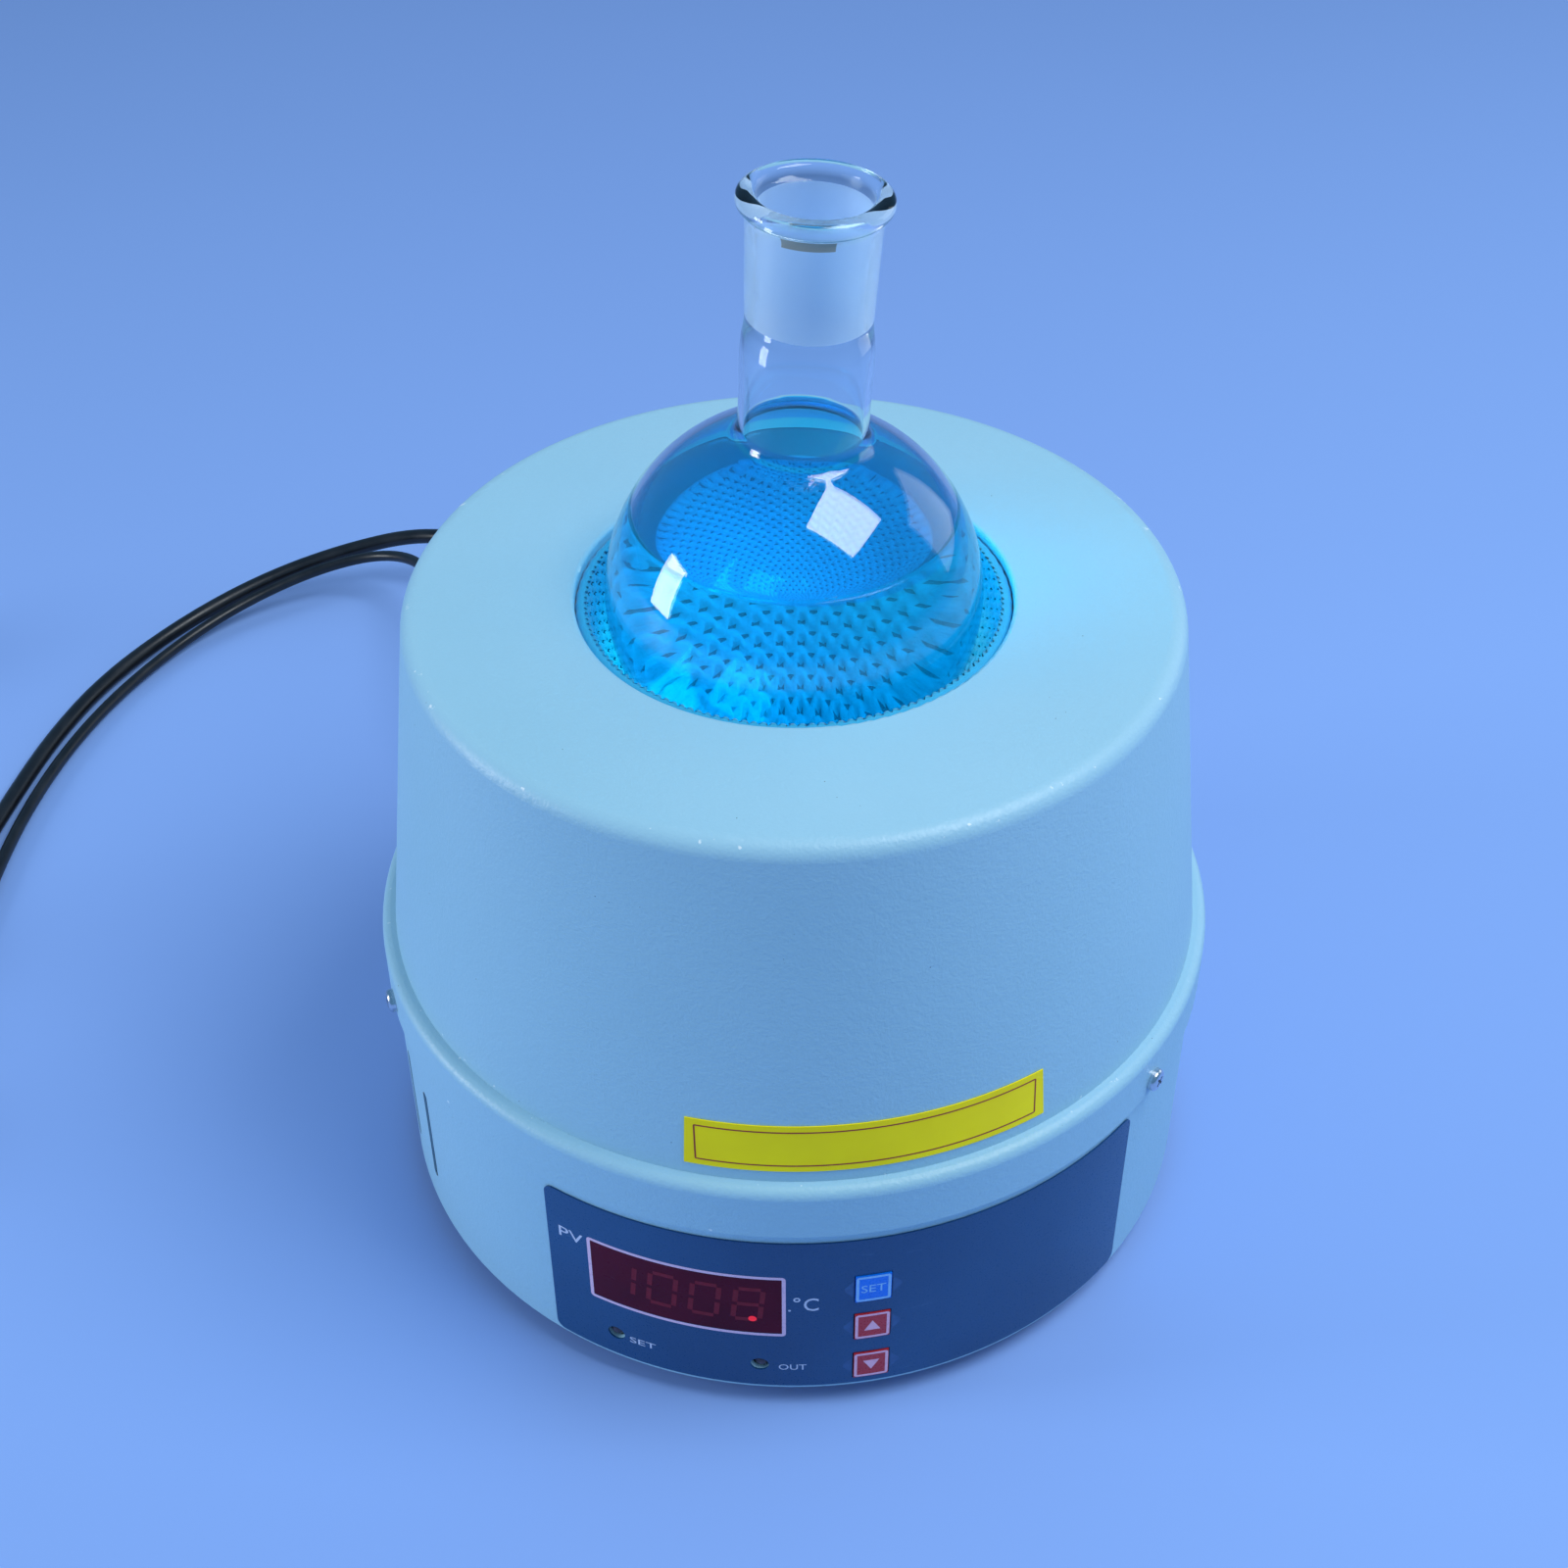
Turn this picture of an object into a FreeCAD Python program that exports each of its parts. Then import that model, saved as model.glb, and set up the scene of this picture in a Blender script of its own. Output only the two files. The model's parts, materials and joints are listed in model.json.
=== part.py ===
import FreeCAD, Part
import math
import os
import Sketcher
from FreeCAD import Vector

# Electric heating mantle with a digital temperature panel, holding a 500 ml
# round-bottom flask. Millimetres, +Z up, the floor is z = 0, the upright
# centre line of the mantle is the Z axis and the control panel faces -Y.
# An azimuth is measured about Z from the front, positive towards +X.

SIZES = {
    # outer sheet-metal shells
    "mantle_height": 203,
    "cone_taper": 13,
    "opening_radius": 61,
    "wall": 1.4,
    "cut_margin": 2,
    "lip_depth": 4,
    "lip_round": 1.2,
    "top_round": 5,
    "bead_ledge": 4.2,
    "bead_height": 95.5,
    "bead_round": 3,
    "cone_foot_rise": 0.6,
    "base_radius": 124,
    "base_wall": 1.4,
    "skirt_clearance": 0.3,
    "seam_height": 78,
    "skirt_overlap": 12,
    "foot_height": 8,
    "plate_thickness": 1.4,
    "flange_width": 11,
    "plate_clearance": 0.3,
    # feet and fasteners
    "foot_radius": 11,
    "foot_taper": 1.5,
    "foot_inset": 26,
    "foot_recess_radius": 4.6,
    "foot_recess_depth": 3.5,
    "screw_radius": 2,
    "screw_head_radius": 3.5,
    "screw_head_height": 2.2,
    "screw_clearance": 0.2,
    "screw_dome": 1.32,
    "screw_length": 6,
    "screw_end": 1.5,
    "foot_screw_end": 4,
    "seam_screw_rise": 4.5,
    "seam_screw_right": 46.6,
    "seam_screw_left": -79.5,
    "seam_screw_rear": 165,
    "flange_screw_angle": 10,
    "plate_vent_radius": 4.5,
    "plate_vent_circle": 58,
    "plate_vent_count": 12,
    # heating well
    "bowl_radius": 57.8,
    "bowl_thickness": 3,
    "bowl_rim_drop": 2,
    "seat_clearance": 0.3,
    "insulation_radius": 92,
    "insulation_bottom": 104,
    "pan_thickness": 1.2,
    "pan_wall_height": 62,
    "pan_clearance": 0.3,
    "post_radius": 4,
    "post_circle": 72,
    # flask with a 29/32 ground socket
    "bulb_radius": 52.5,
    "bulb_height": 203,
    "glass": 1.8,
    "flask_lean": 2.6,
    "lean_azimuth": 171.6,
    "neck_radius": 17.4,
    "neck_bore": 15.8,
    "neck_top": 80,
    "socket_foot_radius": 16.6,
    "socket_foot": 84,
    "socket_foot_bore": 13.3,
    "socket_top_radius": 17.4,
    "socket_top_bore": 14.7,
    "rim_radius": 20,
    "rim_height": 5,
    "rim_top": 119,
    "rim_bevel": 1.5,
    "neck_fillet": 5,
    "liquid_level": 27,
    "liquid_clearance": 0.15,
    # control panel
    "panel_half_angle": 42.6,
    "panel_bottom": 9.5,
    "panel_height": 64,
    "panel_corner": 3,
    "film": 0.5,
    "glue": 0.05,
    "display_azimuth": -22.9,
    "display_width": 56,
    "display_height": 24,
    "display_bottom": 34,
    "display_clearance": 0.1,
    "module_width": 50.3,
    "module_height": 19,
    "module_depth": 8,
    "module_clearance": 0.7,
    "module_setback": 3.4,
    "board": 1.6,
    "board_bottom": 13,
    "board_height": 57,
    "display_board_width": 64,
    "stud_radius": 2.5,
    "stud_inset": 5,
    "display_stud_side": 3,
    "key_stud_side": 2.25,
    "key_stud_radius": 1.875,
    "lamp_radius": 2.4,
    "lamp_height": 19.3,
    "lamp_offset": 21.5,
    "lamp_setback": 1.8,
    "lamp_clearance": 0.25,
    # keys
    "key_azimuth": 1.8,
    "key_width": 10.2,
    "key_height": 11,
    "key_clearance": 0.3,
    "key_proud": 0.45,
    "key_flange": 1.2,
    "key_flange_depth": 1.2,
    "key_flange_gap": 0.6,
    "key_stem": 3.2,
    "set_key_height": 52.7,
    "up_key_height": 35.8,
    "down_key_height": 17.8,
    "key_board_width": 24,
    "switch_size": 12,
    "switch_body": 4,
    "switch_plunger": 1.7,
    "plunger_radius": 3.4,
    "plunger_gap": 0.85,
    # yellow strip on the cone
    "strip_left": -22.4,
    "strip_right": 25.6,
    "strip_bottom": 100,
    "strip_height": 15.5,
    "strip_thickness": 0.3,
    # side vents
    "vent_bottom": 22,
    "vent_height": 36,
    "vent_width": 1.8,
    "vent_first": 71.5,
    "vent_step": 8.5,
    "vent_count": 5,
    # rear of the base
    "rear_height": 42,
    "rear_clearance": 0.2,
    "switch_azimuth": 180,
    "bezel_width": 15,
    "bezel_height": 21,
    "bezel_depth": 2,
    "switch_width": 13,
    "switch_height": 19,
    "switch_depth": 14,
    "switch_wall": 1.2,
    "rocker_clearance": 0.4,
    "rocker_radius": 7.2,
    "rocker_tilt": 8,
    "rocker_face": 4,
    "rocker_lip": 1.6,
    "rocker_edge": 0.6,
    "rocker_back": 3.96,
    "rocker_pivot": 2,
    "fuse_azimuth": 166,
    "fuse_radius": 6,
    "fuse_flange": 8,
    "fuse_flange_depth": 1.5,
    "fuse_cap_radius": 5.5,
    "fuse_cap_depth": 2.5,
    "fuse_body": 24,
    "socket_azimuth": -152,
    "inlet_radius": 7.8,
    "inlet_flange": 9,
    "inlet_flange_depth": 1.5,
    "inlet_barrel": 4,
    "inlet_body": 12,
    "gland_azimuth": -166,
    "gland_radius": 5,
    "gland_flange": 8,
    "gland_length": 30,
    "gland_nut": 2,
    "gland_shank": 10,
    "gland_tip_radius": 4.4,
    "lead_first_run": 40,
    "connector_radius": 7.2,
    "connector_length": 36,
    "connector_tail": 14.4,
    "connector_tail_radius": 5.76,
    "connector_tip_radius": 3.375,
    # electrics on the base plate
    "transformer_width": 48,
    "transformer_depth": 32,
    "transformer_height": 40,
    "transformer_limb": 16,
    "winding_clearance": 0.2,
    "winding_bulge": 9,
    "transformer_x": -52,
    "transformer_y": 0,
    "sink_x": 56,
    "sink_y": 34,
    "sink_width": 40,
    "sink_depth": 22,
    "sink_height": 30,
    "sink_base": 4,
    "fin": 1.6,
    "fin_count": 6,
    "triac_width": 10,
    "triac_height": 15,
    "triac_depth": 4.4,
    "terminal_width": 30,
    "terminal_depth": 16,
    "terminal_height": 14,
    "terminal_y": -30,
    "terminal_bore": 3,
    # leads
    "mains_diameter": 6.2,
    "mains_ring": 34.5,
    "mains_bundle": 13,
    "sensor_diameter": 4.5,
    "sensor_ring": 26,
    "sensor_bundle": 9,
    "probe_diameter": 5,
    "probe_length": 90,
    "plug_radius": 18.5,
    "plug_body": 34,
    "plug_relief": 26,
    "relief_radius": 10.2,
    "relief_tip_radius": 4.65,
    "pin_radius": 2.4,
    "pin_length": 19,
    "pin_spacing": 19,
}

# Points of the free leads' centre lines, from the mantle to the coil.
MAINS_ROUTE = [
    (-55.5, 217, 39.5), (-67, 257, 35.5), (-85, 292, 31),
    (-114, 314.5, 25), (-148, 316, 18.5), (-183, 309, 11.5), (-216.5, 291, 5.2),
    (-246, 258.5, 3.4), (-264, 222, 3.3), (-277, 182, 3.3), (-286.6, 148, 3.3),
    (-290.8, 112, 3.3),
]
SENSOR_ROUTE = [
    (-104, 216, 39.5), (-108.5, 250, 36), (-114, 284, 30.5),
    (-132, 304.5, 23), (-160, 307, 16), (-190, 298, 9), (-216, 280, 4.2),
    (-240, 250, 2.6), (-257, 217, 2.5), (-269.5, 180, 2.5), (-277, 143, 2.5),
    (-281.5, 106, 2.5), (-283.6, 73, 2.5), (-283.2, 44, 2.5), (-284.1, 20, 2.5),
]
MAINS_COIL = (-335.2, 110)
SENSOR_COIL = (-317.2, 18)
MAINS_TAIL = [
    (-379.5, 112, 9.7), (-380.6, 134, 7), (-380.2, 158, 6), (-380, 183, 13.2),
    (-380, 205, 18.5), (-380, 226, 18.5),
]
SENSOR_TAIL = [
    (-315, -15, 6.8), (-328, -16, 4.6), (-339.5, -20.5, 2.8), (-346, -31, 2.5),
    (-346, -43, 2.5),
]

doc = FreeCAD.newDocument("heating_mantle")
sheet = doc.addObject("Spreadsheet::Sheet", "sizes")
for row, (alias, value) in enumerate(SIZES.items(), start=1):
    sheet.set("A%d" % row, alias)
    sheet.set("B%d" % row, str(value))
    sheet.setAlias("B%d" % row, alias)
doc.recompute()


class Term:
    """A size as its number and as the expression over the sheet that gives it."""

    def __init__(self, number, text):
        self.number = number
        self.text = text

    def __add__(self, other):
        other = term(other)
        return Term(self.number + other.number, "(%s + %s)" % (self.text, other.text))

    def __sub__(self, other):
        other = term(other)
        return Term(self.number - other.number, "(%s - %s)" % (self.text, other.text))

    def __mul__(self, other):
        other = term(other)
        return Term(self.number * other.number, "(%s * %s)" % (self.text, other.text))

    def __truediv__(self, other):
        other = term(other)
        return Term(self.number / other.number, "(%s / %s)" % (self.text, other.text))

    def __neg__(self):
        return Term(-self.number, "(0 - %s)" % self.text)


def term(value):
    if isinstance(value, Term):
        return value
    return Term(float(value), repr(float(value)))


def root(value):
    return Term(math.sqrt(value.number), "sqrt(%s)" % value.text)


def sine(angle):
    angle = term(angle)
    return Term(math.sin(math.radians(angle.number)), "sin(%s)" % angle.text)


def cosine(angle):
    angle = term(angle)
    return Term(math.cos(math.radians(angle.number)), "cos(%s)" % angle.text)


class Sheet:
    """Every size of the sheet as a Term."""

    def __init__(self, sizes):
        for alias, value in sizes.items():
            setattr(self, alias, Term(float(value), "sizes." + alias))


S = Sheet(SIZES)
ZERO = term(0)

# Levels and radii that several pieces share.
skirt_bore = S.base_radius + S.skirt_clearance
skirt_radius = skirt_bore + S.wall
cone_bottom_radius = skirt_radius - S.bead_ledge
top_radius = cone_bottom_radius - S.cone_taper
foot_circle = S.base_radius - S.foot_inset
module_front = S.base_radius - S.module_setback
lamp_tip = S.base_radius - S.lamp_setback
base_bore = S.base_radius - S.base_wall
plate_top = S.foot_height + S.plate_thickness
bulb_bottom = S.bulb_height - S.bulb_radius
bowl_outer = S.bowl_radius + S.bowl_thickness
bowl_centre = bulb_bottom - S.seat_clearance + S.bowl_radius
bowl_rim = S.mantle_height - S.bowl_rim_drop
seam_screw_height = S.seam_height + S.seam_screw_rise
flange_screw_circle = base_bore - S.flange_width / 2
pan_bottom = S.insulation_bottom - S.pan_thickness - S.pan_clearance
display_board_front = module_front - S.module_depth
key_back = S.base_radius + S.film + S.key_proud
nodes = {}


def keep(label, obj):
    """The object becomes the sub-part of that name."""
    obj.Label = label
    nodes[label] = obj
    return obj


def bind(obj, **sizes):
    for name, size in sizes.items():
        obj.setExpression(name, term(size).text)


def put(obj, x=0, y=0, z=0, turn=0, tip=0):
    """Place by expressions: tip is about X, then turn about Z."""
    x, y, z, turn, tip = (term(value) for value in (x, y, z, turn, tip))
    rotation = "rotation(vector(0; 0; 1); %s) * rotation(vector(1; 0; 0); %s)" % (turn.text, tip.text)
    obj.setExpression(
        "Placement",
        "placement(vector(%s; %s; %s); %s)" % (x.text, y.text, z.text, rotation),
    )
    return obj


def put_radial(obj, azimuth, radius, height, along=0, tip=0):
    """Place at an azimuth: the local -Y looks outward and +X to the right as seen from outside."""
    azimuth, radius, along = term(azimuth), term(radius), term(along)
    x = sine(azimuth) * radius + cosine(azimuth) * along
    y = sine(azimuth) * along - cosine(azimuth) * radius
    return put(obj, x, y, height, azimuth, tip)


def box(name, width, depth, height):
    obj = doc.addObject("Part::Box", name)
    bind(obj, Length=width, Width=depth, Height=height)
    return obj


def cylinder(name, radius, height):
    obj = doc.addObject("Part::Cylinder", name)
    bind(obj, Radius=radius, Height=height)
    return obj


def cone(name, radius, top, height):
    obj = doc.addObject("Part::Cone", name)
    bind(obj, Radius1=radius, Radius2=top, Height=height)
    return obj


def sphere(name, radius, height):
    obj = doc.addObject("Part::Sphere", name)
    bind(obj, Radius=radius)
    return put(obj, z=height)


def radial_box(name, azimuth, outer, depth, width, bottom, height, along=0):
    """A box whose outer face is square to the azimuth, at that distance from the centre line."""
    obj = box(name, width, depth, height)
    return put_radial(obj, azimuth, outer, bottom, term(along) - term(width) / 2)


def radial_cylinder(name, azimuth, outer, depth, radius, height, along=0):
    """A cylinder that runs inward along the azimuth from that distance."""
    obj = cylinder(name, radius, depth)
    return put_radial(obj, azimuth, outer, height, along, -90)


def fuse(name, shapes):
    obj = doc.addObject("Part::MultiFuse", name)
    obj.Shapes = shapes
    return obj


def gather(name, shapes):
    obj = doc.addObject("Part::Compound", name)
    obj.Links = shapes
    return obj


def cut(name, base, tools):
    obj = doc.addObject("Part::Cut", name)
    obj.Base = base
    obj.Tool = tools[0] if len(tools) == 1 else fuse(name + "_tools", tools)
    return obj


def common(name, base, tool):
    obj = doc.addObject("Part::Common", name)
    obj.Base = base
    obj.Tool = tool
    return obj


def arc_sheet(name, inner, outer, bottom, height, left, right):
    """A piece of tube wall between two azimuths."""
    skin = cylinder(name + "_skin", outer, height)
    bind(skin, Angle=term(right) - term(left))
    put(skin, z=bottom, turn=term(left) - 90)
    core = cylinder(name + "_core", inner, term(height) + S.cut_margin * 2)
    put(core, z=term(bottom) - S.cut_margin)
    return cut(name, skin, [core])


def origin_plane(body, role):
    return next(item for item in body.Origin.OriginFeatures if item.Role == role)


def attach(body, role, name):
    sketch = body.newObject("Sketcher::SketchObject", name)
    sketch.AttachmentSupport = [(origin_plane(body, role), "")]
    sketch.MapMode = "FlatFace"
    return sketch


def pin(sketch, kind, geometry, vertex, size):
    """A sketch vertex at a distance from the origin, along X or Y."""
    if size.number == 0:
        axis = -2 if kind == "DistanceX" else -1
        sketch.addConstraint(Sketcher.Constraint("PointOnObject", geometry, vertex, axis))
        return
    index = sketch.addConstraint(Sketcher.Constraint(kind, -1, 1, geometry, vertex, size.number))
    sketch.setExpression("Constraints[%d]" % index, size.text)


def profile(body, role, name, points, arcs=None):
    """A closed outline through points. arcs maps a point's index to the radius of
    the arc that leaves it and to 1 or -1 for its centre on the left or right."""
    arcs = arcs or {}
    sketch = attach(body, role, name)
    points = [(term(x), term(y)) for x, y in points]
    ends = []
    for index, (x, y) in enumerate(points):
        after = points[(index + 1) % len(points)]
        start = Vector(x.number, y.number, 0)
        finish = Vector(after[0].number, after[1].number, 0)
        if index not in arcs:
            sketch.addGeometry(Part.LineSegment(start, finish))
            ends.append((1, 2))
            continue
        radius, turn = arcs[index]
        chord = finish - start
        side = Vector(-chord.y, chord.x, 0).normalize() * turn
        depth = math.sqrt(radius.number**2 - (chord.Length / 2) ** 2)
        centre = (start + finish) * 0.5 + side * depth
        angles = [math.atan2((point - centre).y, (point - centre).x) for point in (start, finish)]
        circle = Part.Circle(centre, Vector(0, 0, 1), radius.number)
        if turn < 0:
            angles.reverse()
        sketch.addGeometry(Part.ArcOfCircle(circle, angles[0], angles[1]))
        ends.append((1, 2) if turn > 0 else (2, 1))
    for index, (first, last) in enumerate(ends):
        following = (index + 1) % len(ends)
        joint = Sketcher.Constraint("Coincident", index, last, following, ends[following][0])
        sketch.addConstraint(joint)
    for index, (x, y) in enumerate(points):
        pin(sketch, "DistanceX", index, ends[index][0], x)
        pin(sketch, "DistanceY", index, ends[index][0], y)
    for index, (radius, turn) in arcs.items():
        number = sketch.addConstraint(Sketcher.Constraint("Radius", index, radius.number))
        sketch.setExpression("Constraints[%d]" % number, radius.text)
    return sketch


def revolve(name, points, arcs=None):
    """A body of revolution about Z from an outline of (radius, height) points."""
    body = doc.addObject("PartDesign::Body", name)
    sketch = profile(body, "XZ_Plane", name + "_outline", points, arcs)
    feature = body.newObject("PartDesign::Revolution", name + "_revolution")
    feature.Profile = sketch
    feature.ReferenceAxis = (sketch, ["V_Axis"])
    feature.Angle = 360
    doc.recompute()
    return body, feature


def rims(shape, radius, height):
    """The names of the shape's round edges of that radius about Z at that height."""
    found = []
    for number, edge in enumerate(shape.Edges, start=1):
        if edge.Degenerated:
            continue
        curve = edge.Curve
        if not isinstance(curve, Part.Circle):
            continue
        near = abs(curve.Center.z - height.number) < 0.01
        if near and abs(curve.Radius - radius.number) < 0.01:
            found.append("Edge%d" % number)
    return found


def round_rims(body, feature, name, radius, places):
    """Fillet the round edges at (radius, height) places of a body of revolution."""
    fillet = body.newObject("PartDesign::Fillet", name)
    edges = [edge for place in places for edge in rims(feature.Shape, *place)]
    fillet.Base = (feature, edges)
    bind(fillet, Radius=radius)
    body.Tip = fillet
    doc.recompute()
    return fillet


# Upper shell
inner_top = S.mantle_height - S.wall
cone_foot = S.bead_height + S.cone_foot_rise
lip_bottom = S.mantle_height - S.lip_depth
bead_inside = S.bead_height - S.wall
cone_inside = cone_bottom_radius - S.wall
upper_body, upper_turned = revolve(
    "upper_form",
    [
        (skirt_bore, S.seam_height),
        (skirt_radius, S.seam_height),
        (skirt_radius, S.bead_height),
        (cone_bottom_radius, cone_foot),
        (top_radius, S.mantle_height),
        (S.opening_radius, S.mantle_height),
        (S.opening_radius, lip_bottom),
        (S.opening_radius + S.wall, lip_bottom),
        (S.opening_radius + S.wall, inner_top),
        (top_radius - S.wall, inner_top),
        (cone_inside, bead_inside),
        (skirt_bore, bead_inside),
    ],
)
upper_outer = round_rims(
    upper_body, upper_turned, "upper_top_round", S.top_round, [(top_radius, S.mantle_height)]
)
upper_bead = round_rims(
    upper_body, upper_outer, "upper_bead_round", S.bead_round, [(skirt_radius, S.bead_height)]
)
round_rims(
    upper_body, upper_bead, "upper_lip_round", S.lip_round, [(S.opening_radius, S.mantle_height)]
)

through = S.wall + S.base_wall + S.cut_margin * 4
seam_azimuths = [S.seam_screw_right, S.seam_screw_left, S.seam_screw_rear]


def seam_holes(prefix):
    return [
        radial_cylinder(
            "%s_hole_%d" % (prefix, number),
            azimuth,
            skirt_radius + S.cut_margin,
            through,
            S.screw_radius + S.screw_clearance,
            seam_screw_height,
        )
        for number, azimuth in enumerate(seam_azimuths, start=1)
    ]


keep("upper_shell", cut("upper_shell", upper_body, seam_holes("upper")))

# Base shell
base_body, base_turned = revolve(
    "base_form",
    [
        (S.base_radius, S.foot_height),
        (S.base_radius, S.seam_height + S.skirt_overlap),
        (base_bore, S.seam_height + S.skirt_overlap),
        (base_bore, plate_top + S.base_wall),
        (base_bore - S.flange_width, plate_top + S.base_wall),
        (base_bore - S.flange_width, plate_top),
        (base_bore, plate_top),
        (base_bore, S.foot_height),
    ],
)
base_cuts = seam_holes("base")


def wall_window(name, azimuth, width, bottom, height):
    return radial_box(name, azimuth, S.base_radius + S.cut_margin, through, width, bottom, height)


def wall_bore(name, azimuth, radius, height, along=0):
    outer = S.base_radius + S.cut_margin * 2
    return radial_cylinder(name, azimuth, outer, through, radius, height, along)


base_cuts.append(
    wall_window(
        "display_cut",
        S.display_azimuth,
        S.module_width + S.module_clearance * 2,
        S.display_bottom + (S.display_height - S.module_height) / 2 - S.module_clearance,
        S.module_height + S.module_clearance * 2,
    )
)
key_heights = {
    "set_key": S.set_key_height,
    "up_key": S.up_key_height,
    "down_key": S.down_key_height,
}
for key, height in key_heights.items():
    base_cuts.append(
        wall_window(
            key + "_cut",
            S.key_azimuth,
            S.key_width + S.key_clearance * 2,
            height - S.key_height / 2 - S.key_clearance,
            S.key_height + S.key_clearance * 2,
        )
    )
lamp_sides = {"set_lamp": term(-1), "out_lamp": term(1)}
for lamp, side in lamp_sides.items():
    base_cuts.append(
        wall_bore(
            lamp + "_cut",
            S.display_azimuth,
            S.lamp_radius + S.lamp_clearance,
            S.lamp_height,
            S.lamp_offset * side,
        )
    )
for side in (-1, 1):
    for number in range(int(S.vent_count.number)):
        azimuth = (S.vent_first + S.vent_step * number) * side
        slot = wall_window(
            "vent_%s_%d" % ("left" if side < 0 else "right", number + 1),
            azimuth,
            S.vent_width,
            S.vent_bottom,
            S.vent_height,
        )
        base_cuts.append(slot)
base_cuts += [
    wall_window(
        "switch_cut",
        S.switch_azimuth,
        S.switch_width + S.rear_clearance * 2,
        S.rear_height - S.switch_height / 2 - S.rear_clearance,
        S.switch_height + S.rear_clearance * 2,
    ),
    wall_bore("fuse_cut", S.fuse_azimuth, S.fuse_radius + S.rear_clearance, S.rear_height),
    wall_bore("socket_cut", S.socket_azimuth, S.inlet_radius + S.rear_clearance, S.rear_height),
    wall_bore("gland_cut", S.gland_azimuth, S.gland_radius + S.rear_clearance, S.rear_height),
]
corner_azimuths = [45, 135, 225, 315]


def ring_of_holes(prefix, radius, circle, offset, bottom, height):
    holes = []
    for number, corner in enumerate(corner_azimuths, start=1):
        hole = cylinder("%s_%d" % (prefix, number), radius, height)
        holes.append(put_radial(hole, term(corner) + offset, circle, bottom))
    return holes


base_cuts += ring_of_holes(
    "flange_hole",
    S.screw_radius + S.screw_clearance,
    flange_screw_circle,
    S.flange_screw_angle,
    plate_top - S.cut_margin,
    S.base_wall + S.cut_margin * 2,
)
keep("base_shell", cut("base_shell", base_body, base_cuts))

# Base plate
plate = doc.addObject("PartDesign::Body", "plate_form")
disc_radius = base_bore - S.plate_clearance
disc_sketch = attach(plate, "XY_Plane", "plate_outline")
disc_sketch.addGeometry(Part.Circle(Vector(), Vector(0, 0, 1), disc_radius.number))
disc_sketch.addConstraint(Sketcher.Constraint("Coincident", 0, 3, -1, 1))
index = disc_sketch.addConstraint(Sketcher.Constraint("Radius", 0, disc_radius.number))
disc_sketch.setExpression("Constraints[%d]" % index, disc_radius.text)
disc = plate.newObject("PartDesign::Pad", "plate_disc")
disc.Profile = disc_sketch
bind(disc, Length=S.plate_thickness)
vent_sketch = attach(plate, "XY_Plane", "plate_vent_outline")
vent_centre = Vector(S.plate_vent_circle.number, 0, 0)
vent_sketch.addGeometry(Part.Circle(vent_centre, Vector(0, 0, 1), S.plate_vent_radius.number))
vent_sketch.addConstraint(Sketcher.Constraint("PointOnObject", 0, 3, -1))
index = vent_sketch.addConstraint(
    Sketcher.Constraint("DistanceX", -1, 1, 0, 3, S.plate_vent_circle.number)
)
vent_sketch.setExpression("Constraints[%d]" % index, S.plate_vent_circle.text)
index = vent_sketch.addConstraint(Sketcher.Constraint("Radius", 0, S.plate_vent_radius.number))
vent_sketch.setExpression("Constraints[%d]" % index, S.plate_vent_radius.text)
vents = plate.newObject("PartDesign::Pocket", "plate_vent")
vents.Profile = vent_sketch
vents.Type = "ThroughAll"
vents.Reversed = True
doc.recompute()
vent_ring = plate.newObject("PartDesign::PolarPattern", "plate_vents")
vent_ring.Originals = [vents]
vent_ring.Axis = (vent_sketch, ["N_Axis"])
vent_ring.Angle = 360
bind(vent_ring, Occurrences=S.plate_vent_count)
plate.Tip = vent_ring
put(plate, z=S.foot_height)
plate_holes = ring_of_holes(
    "foot_hole",
    S.screw_radius + S.screw_clearance,
    foot_circle,
    0,
    S.foot_height - S.cut_margin,
    S.plate_thickness + S.cut_margin * 2,
)
plate_holes += ring_of_holes(
    "plate_edge_hole",
    S.screw_radius + S.screw_clearance,
    flange_screw_circle,
    S.flange_screw_angle,
    S.foot_height - S.cut_margin,
    S.plate_thickness + S.cut_margin * 2,
)
keep("base_plate", cut("base_plate", plate, plate_holes))

# Feet and screws
foot_names = ["foot_front_right", "foot_rear_right", "foot_rear_left", "foot_front_left"]
for corner, name in zip(corner_azimuths, foot_names):
    foot, _ = revolve(
        name + "_form",
        [
            (S.screw_radius + S.screw_clearance, S.foot_height),
            (S.screw_radius + S.screw_clearance, S.foot_recess_depth),
            (S.foot_recess_radius, S.foot_recess_depth),
            (S.foot_recess_radius, ZERO),
            (S.foot_radius - S.foot_taper, ZERO),
            (S.foot_radius, S.foot_height),
        ],
    )
    keep(name, put_radial(foot, corner, foot_circle, 0))


def upright_screw(name, head_bottom, length):
    """A pan-head screw that points up, its head's underside at head_bottom."""
    shank = cylinder(name + "_shank", S.screw_radius, length)
    put(shank, z=term(head_bottom) + S.screw_head_height)
    head = cylinder(name + "_head", S.screw_head_radius, S.screw_head_height)
    put(head, z=head_bottom)
    return fuse(name, [shank, head])


foot_screws = []
edge_screws = []
for number, corner in enumerate(corner_azimuths, start=1):
    screw = upright_screw(
        "foot_screw_%d" % number,
        S.foot_recess_depth - S.screw_head_height,
        plate_top - S.foot_recess_depth + S.foot_screw_end,
    )
    foot_screws.append(put_radial(screw, corner, foot_circle, 0))
    screw = upright_screw(
        "edge_screw_%d" % number,
        S.foot_height - S.screw_head_height,
        S.plate_thickness + S.base_wall + S.screw_end,
    )
    place = put_radial(screw, term(corner) + S.flange_screw_angle, flange_screw_circle, 0)
    edge_screws.append(place)
keep("foot_screws", gather("foot_screws", foot_screws))
keep("base_plate_screws", gather("base_plate_screws", edge_screws))

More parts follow.
